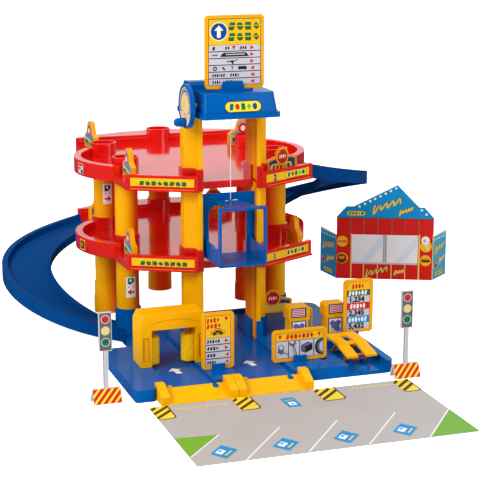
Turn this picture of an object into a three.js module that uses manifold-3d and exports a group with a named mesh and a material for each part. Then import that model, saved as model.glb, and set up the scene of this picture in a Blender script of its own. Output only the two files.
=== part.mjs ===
// Toy parking garage with a hand-cranked lift: a moulded base plate, two decks on round columns,
// a lift tower with two grooved rails, curved ramps, a wash arch, a service bay and printed boards.
// Millimetres, +Z up. The origin is the middle of the base plate's underside; the street side is -Y.
import * as THREE from 'three';
import { mergeVertices } from 'three/addons/utils/BufferGeometryUtils.js';
import Module from 'manifold-3d';

// Fits and mesh fineness
const seat = 0.3;                 // gap left between two pieces that rest on or in each other
const overrun = 2;                // how far a cutting body runs past the wall it cuts
const weld = 0.0001;              // distance under which two mesh corners are one
const roundSteps = 28;            // sides of a full turn on large round parts
const smallSteps = 12;            // sides of a full turn on small round parts
const curveSteps = 3;             // half the pieces of each arc in an outline

// Storeys
const storeyHeight = 110;         // floor to floor of the decks
const lowerFloor = 127;           // top of the lower deck's floor above the ground

// Base plate
const baseWidth = 356;
const baseDepth = 302;
const baseHeight = 16;            // raised kerbs and islands
const laneHeight = 12;            // floor of the two car lanes
const bayHeight = 5;              // sunk floor of the service bay
const baseCorner = 14;
const baseSkin = 3;               // wall of the moulding, open below
const baseRib = 5;                // crossed ribs under the plate
const baseStepX = 48;             // how far the rear left corner is cut back for the ramp
const baseStepY = 20;             // where that cut starts
const washLaneLeft = -134;
const washLaneRight = -73;
const liftLaneHalf = 36;
const bayLeft = 112;
const bayRight = 168;
const bayBack = -44;
const kerbWall = 4;               // rear kerb
const rearLaneRight = 68;         // beyond it an island carries the ground stop board
const pitX = 90;
const pitY = -113;
const pitRadius = 6;

// Round columns and their sockets
const tubeRadius = 16.3;
const tubeWall = 2;
const socketRadius = 18.4;
const socketHeight = 19.6;        // above a deck's floor
const baseSocketTop = 39.8;
const frontColumnX = 110.5;
const frontColumnY = 132.8;
const rearColumnX = 111.2;
const rearColumnY = 258.2;
const middleColumnY = 359;
const footWide = 18.6;            // stepped foot sleeves of the rear columns
const footNarrow = 17.7;
const footStep = 25;
const footHeight = 47;
const footFloor = 3;

// Decks
const floorThickness = 3;
const skirtDepth = 10;            // outer skirt below the floor's top
const skirtWall = 3;
const parapetHeight = 11.5;
const panelWall = 6;
const bayWall = 10;
const shaftBackY = 18;            // front edge of the floor between the rails
const panelInnerX = 46.5;
const panelInnerY = -2.4;
const panelOuterX = 133.3;
const panelOuterY = 42.7;
const sideWallX = 135.5;
const sideWallY = 108;
const bayCentreX = 62.7;
const bayCentreY = 187;
const bayRadius = 107;
const gateFrontY = 267;           // rear side gates, where the ramps join
const gateBackY = 352;
const backCornerX = 131;
const backCornerY = 358;
const backRise = 37;              // how far the back bulges past its corners
const labelLength = 88;           // sunk label field on each front panel
const labelHeight = 12;
const labelDepth = 1;
const lipDrop = 2.5;              // lip along the panels' lower edge
const lipOut = 1.6;

// Lift rails: half section of the right-hand rail, mirrored for the left one
const ribInner = 38;
const ribOuter = 44.3;
const ribFront = 3.4;
const ribBack = 16.2;
const grooveDepth = 3;
const grooveFront = 12.4;
const railInner = 36;
const railShoulder = 17;
const flankStartX = 47.5;
const flankStartY = 18.5;
const railOuter = 58.5;
const flankEndY = 24;
const railSideY = 40;
const railChamferX = 55;
const railBack = 45;
const railSocketWall = 2;
const baseRailTop = 39.8;

// Lift head and winch
const headBottom = 329.6;
const headTop = 361.6;
const lipHalfWidth = 52;
const lipFront = -44;
const lipBack = 52;
const lipHeight = 7;
const headHalfBottom = 49.5;
const headHalfTop = 47.2;
const headFrontBottom = -39;
const headFrontTop = -31;
const headBack = 49;
const headCorner = 6;
const ridgeFront = 19;
const ridgeTop = 372;
const ridgeLeft = 51;             // the ridge covers only the crank's half of the housing
const ridgeRight = 20;
const headRightMore = 3.5;        // the housing is wider on the side away from the crank
const lipRearHalf = 58.5;         // the lip widens over the rails
const ridgeRound = 9;
const headWall = 3;
const cavityFront = -27;
const cavityBack = 43;
const cavityHalf = 33;
const cavityTop = 357;
const frontCavityHalf = 44;
const railTop = 336;
const axleY = -5;
const axleZ = 343.5;
const axleRadius = 3;
const axleBore = 3.4;
const axleEnd = 46.4;               // blind end of the axle in the right cheek
const drumRadius = 6;             // string's winding radius
const drumHalf = 14;
const flangeRadius = 10;
const flangeWall = 2;
const crankRadius = 29.2;
const crankThickness = 6;
const crankGap = 0.6;             // between head and crank disc
const crankRim = 3;
const crankRimDepth = 1.2;
const knobRadius = 6;
const knobReach = 15;
const knobArm = 20.5;
const knobPin = 2.6;
const stringRadius = 0.7;
const bossHalf = 29;
const bossDepth = 16;
const bossHeight = 2.6;
const clipHeight = 13;
const clipBottomHalf = 17.5;
const clipTopHalf = 13;
const clipWall = 2.4;
const clipSlotY = -5;             // plane of the roof sign

// Lift cabin
const cabinFloor = 137;           // top of the cabin's floor at rest
const cabinHalf = 33;
const cabinFront = -53;
const cabinSkin = 3;
const cabinHeight = 76;           // floor top to roof top
const backPanelRise = 8;          // back panel stands above the roof
const backPanelFront = 12.9;
const backPanelBack = 15.7;
const backPanelHalf = 40.5;
const doorHalf = 27;
const doorHeight = 68;
const sillHeight = 20;
const sillBackHeight = 26;
const postWidth = 7;
const roofNeckHalf = 17;
const roofBeam = 8;

// Curved ramp
const rampRadius = 100;           // middle of the lane
const rampHalf = 35;
const rampWall = 8.5;
const rampWallHeight = 9;
const rampWallDrop = 10.5;
const rampCurb = 5;
const rampCurbHeight = 4;
const rampCurbDrop = 8;
const rampSkin = 2.6;
const rampCentreX = 139.7;
const rampCentreY = 204;
const rampLead = 12;              // straight start on the deck
const rampRunOut = 9;             // straight end
const rampFall = 110.5;           // floor drop from end to end
const rampLag = 0.07;             // share of the fall by which the middle is above a steady slope
const rampSteps = 30;

// Wash arch
const archWidth = 90;
const archDepth = 40;
const archHeight = 69;
const archLeg = 15;
const archBeam = 20;
const archChamfer = 5;
const archPanelWidth = 7;
const archPanelHeight = 30;
const archPanelLow = 9;
const archGroove = 1.2;
const archNub = 3;
const archFrontY = -78;
const rollerRadius = 10;
const rollerLow = 16;
const rollerHeight = 36;
const rollerInset = 5;            // roller axis in front of the leg's inner face
const rollerRecess = 11.5;
const rollerPin = 2.2;
const rollerCollar = 4;

// Boards and signs
const signThickness = 4;
const signFrame = 4.5;
const signFieldDepth = 0.8;
const signCorner = 5;
const washSignWidth = 43.5;
const washSignHeight = 76;
const washSignX = -54.5;
const serviceSignWidth = 76;
const serviceSignHeight = 43;
const serviceSignX = 58;
const streetSignY = -110;
const priceSignWidth = 43.6;
const priceSignHeight = 76;
const priceSignInset = 3.5;       // middle of the board, left of the base plate's right edge
const priceSignY = -31;
const priceStep = 4.7;            // its stand lifts it off the base plate
const priceStandShift = 9;        // the stand is nearer the plate's middle than the board
const priceStandGrip = 3;
const roofSignWidth = 81.5;
const roofSignHeight = 96;
const roofSignX = 3.5;
const standHeight = 8;
const standHalf = 9;
const standDepth = 12;
const gateBoardWidth = 46;
const gateBoardHeight = 41;
const gateBoardThickness = 7;
const gateBoardShoulder = 24;
const gateBoardNeck = 12;
const gateBoardWall = 2;
const gateBoardX = 120;
const rearBoardX = 113.5;
const rearBoardTurn = 6;          // degrees that the rear boards on the left are swung from the side
const openBoardX = 101.5;         // the lower one stands swung back, clear of the ramp's lane
const openBoardY = 333.4;
const openBoardTurn = 38;
const stopWidth = 60;
const stopShoulder = 19;
const stopCrown = 26;
const stopPlate = 13;             // corner radius of the eight-sided plate
const stopCentre = 22.5;
const stopThickness = 4;
const stopFrame = 3.4;
const stopUpperX = 90;
const stopUpperY = 49;
const stopLowerX = 80;
const stopLowerY = 328;
const stopGroundX = 100.5;

// Pumps
const pumpWidth = 31;
const pumpDepth = 22;
const pumpHeight = 44;
const pumpHead = 18;
const pumpBodyInset = 2.5;
const pumpChamfer = 3;
const pumpY = -16;
const pumpLeftX = 94;
const pumpRightX = 148;
const hoseRadius = 1.6;
const hoseReach = 8;

// Service hoist
const hoistX = 139;
const trackWidth = 16;
const trackGap = 11;
const trackLength = 38;
const trackTip = 43;
const trackDrop = 8;
const trackThickness = 3;
const trackBridge = 14;
const hoistTop = 29;
const hoistBack = -50;
const legRadius = 1.7;
const legWidth = 36;
const legFootZ = 8.6;
const legLeanY = 10;
const legRiseZ = 10;
const frontLegY = -110;
const rearLegY = -66;
const lugHalf = 3;
const lugBore = 1.9;
const lugWall = 2;

// Entry ramps
const entryWidth = 100.5;
const entryGap = 0.5;
const entryReach = 32;            // in front of the base
const entryCurb = 11;
const entryCurbHeight = 21;
const entryTip = 1.5;
const tabHalf = 4;                // round-headed tabs that hook into the base plate
const tabNeck = 2.2;
const tabReach = 9.5;
const tabLow = 9.8;
const baseTabLow = 6.8;
const blockWidth = 27;            // corner block of the base plate, left of the entry ramps
const blockReach = 12;            // how far it stands forward

// Loose street pieces
const matWidth = 348;
const matDepth = 202;
const matThickness = 0.8;
const matX = 6;
const matGap = 2;
const lightPostWidth = 6.5;
const lightPostDepth = 3;
const lightHeadWidth = 16;
const lightHeadHeight = 49.6;
const lightHeadDepth = 4;
const lightHeight = 115.6;
const lightTentWidth = 36;
const lightTentDepth = 20;
const lightTentHeight = 18;
const lightTentWall = 1.6;
const leftLightOut = 33;          // left of the base plate
const leftLightBack = 7;          // behind its front edge
const rightLightOut = 3;          // right of the mat
const rightLightAhead = 20;       // in front of the base plate
const kioskX = 359;
const kioskY = 293.3;
const kioskWidth = 156;
const kioskEave = 103;
const kioskShoulder = 120;
const kioskRidge = 156;
const kioskLeftWing = 57;
const kioskRightWing = 50.5;
const kioskWingInner = 72;        // height of a wing at its fold
const kioskWingOuter = 75;
const kioskThickness = 1.6;
const kioskTurn = -23.9;          // degrees the front is turned from the X axis
const kioskLeftTurn = 60;         // degrees each wing is folded back
const kioskRightTurn = 63;

// Places along a shape, as shares of its size
const rampTabShare = 0.2;
const baseTabShare = 0.78;
const gableShares = [0.1, 0.17, 0.62, 0.85, 0.9];

const upperFloor = lowerFloor + storeyHeight;
const baseFront = -baseDepth / 2;
const baseBack = baseDepth / 2;
const baseLeft = -baseWidth / 2;
const baseRight = baseWidth / 2;
const priceSignX = baseRight - priceSignInset;
const entryLeft = baseLeft + blockWidth + seat;
const entryLefts = [entryLeft, entryLeft + entryWidth + entryGap];
const stringY = axleY + drumRadius;

const wasm = await Module();
wasm.setup();

function solid(geometry) {
  const bare = geometry.clone();
  bare.deleteAttribute('normal');
  bare.deleteAttribute('uv');
  const merged = mergeVertices(bare, weld);
  return new wasm.Manifold(new wasm.Mesh({
    numProp: 3,
    vertProperties: Float32Array.from(merged.attributes.position.array),
    triVerts: Uint32Array.from(merged.index.array),
  }));
}

function geometryOf(body) {
  const mesh = body.getMesh();
  const geometry = new THREE.BufferGeometry();
  geometry.setAttribute('position', new THREE.BufferAttribute(mesh.vertProperties, mesh.numProp));
  geometry.setIndex(new THREE.BufferAttribute(mesh.triVerts, 1));
  const flat = geometry.toNonIndexed();
  flat.computeVertexNormals();
  return flat;
}

function join(...bodies) {
  return bodies.reduce((whole, body) => whole.add(body));
}

function cut(body, ...tools) {
  return tools.reduce((rest, tool) => rest.subtract(tool), body);
}

function box(xLow, xHigh, yLow, yHigh, zLow, zHigh) {
  const geometry = new THREE.BoxGeometry(xHigh - xLow, yHigh - yLow, zHigh - zLow);
  geometry.translate((xLow + xHigh) / 2, (yLow + yHigh) / 2, (zLow + zHigh) / 2);
  return solid(geometry);
}

// An outline in plan, drawn up from zLow to zHigh
function prism(shape, zLow, zHigh) {
  const geometry = new THREE.ExtrudeGeometry(shape, {
    depth: zHigh - zLow, bevelEnabled: false, curveSegments: curveSteps,
  });
  geometry.translate(0, 0, zLow);
  return solid(geometry);
}

// An outline seen from the street side (x across, z up), drawn back from yLow to yHigh
function upright(shape, yLow, yHigh) {
  const geometry = new THREE.ExtrudeGeometry(shape, {
    depth: yHigh - yLow, bevelEnabled: false, curveSegments: curveSteps,
  });
  geometry.rotateX(Math.PI / 2);
  geometry.translate(0, yHigh, 0);
  return solid(geometry);
}

// An outline seen from the right (y across, z up), drawn from xLow to xHigh
function crosswise(shape, xLow, xHigh) {
  const geometry = new THREE.ExtrudeGeometry(shape, {
    depth: xHigh - xLow, bevelEnabled: false, curveSegments: curveSteps,
  });
  geometry.rotateX(Math.PI / 2);
  geometry.rotateZ(Math.PI / 2);
  geometry.translate(xLow, 0, 0);
  return solid(geometry);
}

function post(x, y, radius, zLow, zHigh, steps = roundSteps) {
  const geometry = new THREE.CylinderGeometry(radius, radius, zHigh - zLow, steps);
  geometry.rotateX(Math.PI / 2);
  geometry.translate(x, y, (zLow + zHigh) / 2);
  return solid(geometry);
}

function axleAlongX(y, z, radius, xLow, xHigh, steps = smallSteps) {
  const geometry = new THREE.CylinderGeometry(radius, radius, xHigh - xLow, steps);
  geometry.rotateZ(Math.PI / 2);
  geometry.translate((xLow + xHigh) / 2, y, z);
  return solid(geometry);
}

function polygon(points) {
  return new THREE.Shape(points.map(([x, y]) => new THREE.Vector2(x, y)));
}

function roundedRectangle(xLow, xHigh, yLow, yHigh, radius) {
  const shape = new THREE.Shape();
  shape.moveTo(xLow + radius, yLow);
  shape.lineTo(xHigh - radius, yLow);
  shape.absarc(xHigh - radius, yLow + radius, radius, -Math.PI / 2, 0);
  shape.lineTo(xHigh, yHigh - radius);
  shape.absarc(xHigh - radius, yHigh - radius, radius, 0, Math.PI / 2);
  shape.lineTo(xLow + radius, yHigh);
  shape.absarc(xLow + radius, yHigh - radius, radius, Math.PI / 2, Math.PI);
  shape.lineTo(xLow, yLow + radius);
  shape.absarc(xLow + radius, yLow + radius, radius, Math.PI, 3 * Math.PI / 2);
  return shape;
}

// Moves every side of a closed outline, counter-clockwise, inwards by a distance
function inset(points, distance) {
  const count = points.length;
  return points.map((point, index) => {
    const before = points[(index + count - 1) % count];
    const after = points[(index + 1) % count];
    const first = new THREE.Vector2(point[0] - before[0], point[1] - before[1]).normalize();
    const second = new THREE.Vector2(after[0] - point[0], after[1] - point[1]).normalize();
    const stretch = 1 + first.dot(second);
    const shiftX = -(first.y + second.y) / stretch;
    const shiftY = (first.x + second.x) / stretch;
    return [point[0] + shiftX * distance, point[1] + shiftY * distance];
  });
}

function mirrored(points) {
  return points.map(([x, y]) => [-x, y]).reverse();
}

const blue = new THREE.MeshStandardMaterial({ color: 0x0a4fa8, roughness: 0.3, metalness: 0 });
const red = new THREE.MeshStandardMaterial({ color: 0xd91414, roughness: 0.25, metalness: 0 });
const yellow = new THREE.MeshStandardMaterial({ color: 0xf7b500, roughness: 0.35, metalness: 0 });
const orange = new THREE.MeshStandardMaterial({ color: 0xd2581a, roughness: 0.4, metalness: 0 });
const foam = new THREE.MeshStandardMaterial({ color: 0xf2c230, roughness: 0.9, metalness: 0 });
const cord = new THREE.MeshStandardMaterial({ color: 0xf4f4f0, roughness: 0.8, metalness: 0 });
const card = new THREE.MeshStandardMaterial({ color: 0xc9c9c9, roughness: 0.6, metalness: 0 });

const garage = new THREE.Group();

function place(name, body, material, x = 0, y = 0, z = 0, turn = 0) {
  const mesh = new THREE.Mesh(geometryOf(body), material);
  mesh.name = name;
  mesh.position.set(x, y, z);
  mesh.rotation.z = turn;
  garage.add(mesh);
  return mesh;
}

// Section of the right-hand lift rail, with the groove that the cabin's back panel runs in
const railSection = [
  [ribInner, ribFront], [ribOuter, ribFront], [ribOuter, ribBack], [flankStartX, flankStartY],
  [railOuter, flankEndY], [railOuter, railSideY], [railChamferX, railBack], [railInner, railBack],
  [railInner, railShoulder], [ribInner + grooveDepth, ribBack], [ribInner + grooveDepth, grooveFront],
  [ribInner, grooveFront],
];
const railEnvelope = [
  [railInner, ribFront], [ribOuter, ribFront], [ribOuter, ribBack], [flankStartX, flankStartY],
  [railOuter, flankEndY], [railOuter, railSideY], [railChamferX, railBack], [railInner, railBack],
];
const railSides = [
  { name: 'left', section: mirrored(railSection), envelope: mirrored(railEnvelope) },
  { name: 'right', section: railSection, envelope: railEnvelope },
];

// Way of the cabin's back panel and its tongues through everything on the shaft
function panelWay(zLow, zHigh) {
  const tongue = ribInner + grooveDepth + seat;
  return join(
    box(-tongue, tongue, grooveFront - seat, ribBack + seat, zLow, zHigh),
    box(-ribInner + seat, ribInner - seat, ribFront - railSocketWall - overrun, grooveFront, zLow, zHigh),
  );
}

function railSocket(side, zLow, zHigh) {
  return prism(polygon(inset(side.envelope, -railSocketWall - seat)), zLow, zHigh);
}

// The slim front part of both rails, which alone goes up into the lift head
function railNeck(clearance) {
  const reach = ribOuter + clearance;
  return box(-reach, reach, ribFront - railSocketWall, railBack + railSocketWall, 0, headTop);
}

function railHole(side, zLow, zHigh) {
  return prism(polygon(inset(side.section, -seat)), zLow, zHigh);
}

const frontColumns = [['left', -frontColumnX], ['right', frontColumnX]];
const rearColumns = [['left', -rearColumnX], ['right', rearColumnX]];
const deckColumnPlaces = [
  [-frontColumnX, frontColumnY], [frontColumnX, frontColumnY],
  [-rearColumnX, rearColumnY], [rearColumnX, rearColumnY], [0, middleColumnY],
];

// Slot block that holds the foot of a printed board
function signStand(x, y, z, half, height) {
  const slotHalf = signThickness / 2 + seat;
  const block = prism(
    roundedRectangle(x - half, x + half, y - standDepth / 2, y + standDepth / 2, signThickness / 2),
    baseHeight - overrun, z + height,
  );
  return cut(
    block,
    box(x - half - overrun, x + half + overrun, y - slotHalf, y + slotHalf, z, z + height + overrun),
  );
}

// Base plate: kerbs and islands around two lanes, a sunk service bay and the sockets of the storey above
function makeBase() {
  const outline = new THREE.Shape();
  const stepX = baseLeft + baseStepX;
  outline.moveTo(baseLeft + baseCorner, baseFront);
  outline.lineTo(baseRight - baseCorner, baseFront);
  outline.absarc(baseRight - baseCorner, baseFront + baseCorner, baseCorner, -Math.PI / 2, 0);
  outline.lineTo(baseRight, baseBack - baseCorner);
  outline.absarc(baseRight - baseCorner, baseBack - baseCorner, baseCorner, 0, Math.PI / 2);
  outline.lineTo(stepX, baseBack);
  outline.lineTo(stepX, baseStepY);
  outline.lineTo(baseLeft + baseCorner, baseStepY);
  outline.absarc(baseLeft + baseCorner, baseStepY - baseCorner, baseCorner, Math.PI / 2, Math.PI);
  outline.lineTo(baseLeft, baseFront + baseCorner);
  outline.absarc(baseLeft + baseCorner, baseFront + baseCorner, baseCorner, Math.PI, 3 * Math.PI / 2);
  let plate = prism(outline, 0, baseHeight);

  const laneBack = baseBack - kerbWall;
  const rearLaneFront = frontColumnY - socketRadius * 3;
  plate = cut(plate,
    box(washLaneLeft, washLaneRight, baseFront - overrun, laneBack, laneHeight, baseHeight + overrun),
    box(-liftLaneHalf, liftLaneHalf, baseFront - overrun, laneBack, laneHeight, baseHeight + overrun),
    box(
      stepX - overrun, washLaneLeft + overrun, baseStepY + baseCorner, laneBack, laneHeight,
      baseHeight + overrun,
    ),
    box(washLaneLeft, rearLaneRight, rearLaneFront, laneBack, laneHeight, baseHeight + overrun),
    box(bayLeft, bayRight, baseFront - overrun, bayBack, bayHeight, baseHeight + overrun),
    post(pitX, pitY, pitRadius, laneHeight, baseHeight + overrun, smallSteps),
  );

  const pocketTop = bayHeight - baseSkin;
  const deepTop = laneHeight - baseSkin;
  const low = baseSkin;
  const ribHalf = baseRib / 2;
  const pockets = [
    [baseLeft + baseCorner, -ribHalf, baseFront + low, -ribHalf, deepTop],
    [ribHalf, bayLeft - low, baseFront + low, -ribHalf, deepTop],
    [bayLeft, baseRight - baseCorner, baseFront + low, bayBack, pocketTop],
    [bayLeft, baseRight - low, bayBack + low, -ribHalf, deepTop],
    [ribHalf, baseRight - baseCorner, ribHalf, baseBack - low, deepTop],
    [stepX + low, -ribHalf, ribHalf, baseBack - low, deepTop],
  ];
  for (const [xLow, xHigh, yLow, yHigh, top] of pockets) {
    plate = cut(plate, box(xLow, xHigh, yLow, yHigh, -overrun, top));
  }

  for (const [, x] of frontColumns) {
    plate = plate.add(post(x, frontColumnY, socketRadius, deepTop, baseSocketTop));
    plate = cut(plate, post(x, frontColumnY, tubeRadius + seat, laneHeight, baseSocketTop + overrun));
  }
  for (const side of railSides) {
    plate = plate.add(railSocket(side, deepTop, baseRailTop));
    plate = cut(plate, railHole(side, laneHeight, baseRailTop + overrun));
  }
  plate = cut(plate, panelWay(laneHeight, baseRailTop + overrun));

  plate = join(plate,
    signStand(washSignX, streetSignY, baseHeight, standHalf, standHeight),
    signStand(serviceSignX, streetSignY, baseHeight, standHalf, standHeight),
    signStand(priceSignX - priceStandShift, priceSignY, baseHeight + priceStep, standHalf, priceStandGrip),
    prism(
      roundedRectangle(
        baseLeft, baseLeft + blockWidth, baseFront - blockReach, baseFront + baseCorner * 2, signCorner,
      ),
      0, baseHeight,
    ),
  );

  for (const legY of [frontLegY, rearLegY]) {
    for (const sideX of [-legWidth / 4, legWidth / 4]) {
      const lug = box(
        hoistX + sideX - lugHalf, hoistX + sideX + lugHalf,
        legY - lugBore - lugWall, legY + lugBore + lugWall, pocketTop, legFootZ + legRadius,
      );
      const slot = join(
        axleAlongX(legY, legFootZ, lugBore, hoistX - legWidth, hoistX + legWidth),
        box(
          hoistX - legWidth, hoistX + legWidth, legY - lugBore, legY + lugBore, legFootZ,
          legFootZ + overrun,
        ),
      );
      plate = plate.add(cut(lug, slot));
    }
  }

  for (const left of entryLefts) {
    plate = cut(
      plate, entryTab(left + entryWidth * rampTabShare, seat, tabLow - seat, baseHeight + overrun, 1),
    );
    const tab = entryTab(left + entryWidth * baseTabShare, 0, baseTabLow, laneHeight, -1);
    const root = box(left, left + entryWidth, baseFront - seat * 2, baseFront + overrun, 0, laneHeight);
    plate = plate.add(tab.intersect(join(entrySlope(left), root)));
  }
  return plate;
}

// Round-headed tab that locks an entry ramp and the base plate together, or the hole it drops into;
// it points into the base plate for a sense of 1 and into the ramp for -1
function entryTab(x, clearance, zLow, zHigh, sense) {
  const neck = tabNeck + clearance;
  const headY = baseFront + sense * (tabReach - tabHalf);
  const rootY = baseFront - sense * overrun;
  return join(
    box(x - neck, x + neck, Math.min(headY, rootY), Math.max(headY, rootY), zLow, zHigh),
    post(x, headY, tabHalf + clearance, zLow, zHigh, smallSteps),
  );
}

// The sloping plate of an entry ramp
function entrySlope(left) {
  const front = baseFront - entryReach;
  const back = baseFront - seat;
  const side = polygon([[front, 0], [back, 0], [back, laneHeight], [front, entryTip]]);
  return crosswise(side, left, left + entryWidth);
}

// Entry ramp: a wedge plate between two curbs, one tab into the base plate and a hole for one of its tabs
function makeEntryRamp(left) {
  const right = left + entryWidth;
  const front = baseFront - entryReach;
  const back = baseFront - seat;
  const curbSide = polygon([
    [front, 0], [back, 0], [back, entryCurbHeight],
    [back - entryReach / 3, entryCurbHeight], [front, entryCurbHeight / 2],
  ]);
  const ramp = join(
    entrySlope(left),
    crosswise(curbSide, left, left + entryCurb),
    crosswise(curbSide, right - entryCurb, right),
    entryTab(left + entryWidth * rampTabShare, 0, tabLow, laneHeight, 1),
  );
  return cut(ramp,
    entryTab(left + entryWidth * baseTabShare, seat, baseTabLow - seat, laneHeight + overrun, -1));
}

// Plan of a deck, counter-clockwise, from the lift shaft round the right half and back
function deckOutline() {
  const right = [
    [railInner, shaftBackY], [railInner, ribFront - railSocketWall - seat],
    [ribOuter, ribFront - railSocketWall - seat], [panelInnerX, panelInnerY],
    [panelOuterX, panelOuterY], [sideWallX, sideWallY],
  ];
  const startAngle = Math.atan2(sideWallY - bayCentreY, sideWallX - bayCentreX);
  const endAngle = Math.asin((gateFrontY - bayCentreY) / bayRadius);
  const arcSteps = smallSteps;
  for (let step = 1; step <= arcSteps; step += 1) {
    const angle = startAngle + (endAngle - startAngle) * step / arcSteps;
    right.push([bayCentreX + bayRadius * Math.cos(angle), bayCentreY + bayRadius * Math.sin(angle)]);
  }
  const backRadius = (backCornerX ** 2 + backRise ** 2) / (2 * backRise);
  const backSpan = Math.asin(backCornerX / backRadius);
  const backCentreY = backCornerY + backRise - backRadius;
  const backSteps = smallSteps / 2;
  for (let step = 0; step < backSteps; step += 1) {
    const angle = backSpan * (1 - step / backSteps);
    right.push([backRadius * Math.sin(angle), backCentreY + backRadius * Math.cos(angle)]);
  }
  return [...right, [0, backCornerY + backRise], ...mirrored(right)];
}

const deckPlan = deckOutline();

// Deck: floor with a skirt, parapets, sunk label fields and open sockets; its floor's top is z = 0
function makeDeck() {
  const reach = baseWidth;
  let deck = cut(
    prism(polygon(deckPlan), -skirtDepth, 0),
    prism(polygon(inset(deckPlan, skirtWall)), -skirtDepth - overrun, -floorThickness),
  );
  const block = prism(polygon(deckPlan), -seat, parapetHeight);
  const frontBand = cut(
    block, prism(polygon(inset(deckPlan, panelWall)), -overrun, parapetHeight + overrun),
  )
    .intersect(box(-reach, reach, -reach, panelOuterY + panelWall, -overrun, parapetHeight + overrun));
  const bayBand = cut(block, prism(polygon(inset(deckPlan, bayWall)), -overrun, parapetHeight + overrun))
    .intersect(box(-reach, reach, sideWallY, gateFrontY, -overrun, parapetHeight + overrun));
  const backBand = block.intersect(box(
    -reach, reach, gateBackY, reach * 2, -overrun, parapetHeight + overrun,
  ));
  deck = join(deck, frontBand, bayBand, backBand);
  deck = cut(
    deck, box(-railInner, railInner, -reach, shaftBackY + overrun * 4, 0, parapetHeight + overrun),
  );

  const lip = cut(
    prism(polygon(inset(deckPlan, -lipOut)), -skirtDepth, -skirtDepth + lipDrop),
    prism(polygon(inset(deckPlan, skirtWall / 2)), -skirtDepth - overrun, -skirtDepth + lipDrop + overrun),
    box(-ribOuter, ribOuter, -reach, reach, -skirtDepth - overrun, 0),
  ).intersect(box(-reach, reach, -reach, panelOuterY, -skirtDepth - overrun, 0));
  deck = deck.add(lip);

  for (const [x, y] of deckColumnPlaces) {
    deck = deck.add(post(x, y, socketRadius, -floorThickness, socketHeight));
    deck = cut(deck, post(x, y, tubeRadius + seat, 0, socketHeight + overrun));
  }
  for (const side of railSides) {
    deck = deck.add(railSocket(side, -skirtDepth, socketHeight));
    deck = cut(
      deck, railHole(side, 0, socketHeight + overrun),
      railHole(side, -skirtDepth - overrun, -floorThickness),
    );
  }
  deck = cut(deck, panelWay(-skirtDepth - overrun, socketHeight + overrun));

  const slope = Math.atan2(panelOuterY - panelInnerY, panelOuterX - panelInnerX);
  const middleX = (panelInnerX + panelOuterX) / 2;
  const middleY = (panelInnerY + panelOuterY) / 2;
  const fieldLow = (parapetHeight - skirtDepth - labelHeight) / 2 + lipDrop / 2;
  for (const hand of [-1, 1]) {
    const field = new THREE.BoxGeometry(labelLength, labelDepth * 2, labelHeight);
    field.rotateZ(hand * slope);
    field.translate(hand * middleX, middleY, fieldLow + labelHeight / 2);
    deck = cut(deck, solid(field));
  }
  return deck;
}

function makeTube(zLow, zHigh) {
  const inner = tubeRadius - tubeWall;
  const profile = [[inner, zLow], [tubeRadius, zLow], [tubeRadius, zHigh], [inner, zHigh], [inner, zLow]];
  const geometry = new THREE.LatheGeometry(profile.map(([x, y]) => new THREE.Vector2(x, y)), roundSteps);
  geometry.rotateX(Math.PI / 2);
  return solid(geometry);
}

function makeFoot() {
  const profile = [
    [0, 0], [footWide, 0], [footWide, footStep], [footNarrow, footStep], [footNarrow, footHeight],
    [tubeRadius + seat, footHeight], [tubeRadius + seat, footFloor], [0, footFloor],
  ];
  const geometry = new THREE.LatheGeometry(profile.map(([x, y]) => new THREE.Vector2(x, y)), roundSteps);
  geometry.rotateX(Math.PI / 2);
  return solid(geometry);
}

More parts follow.
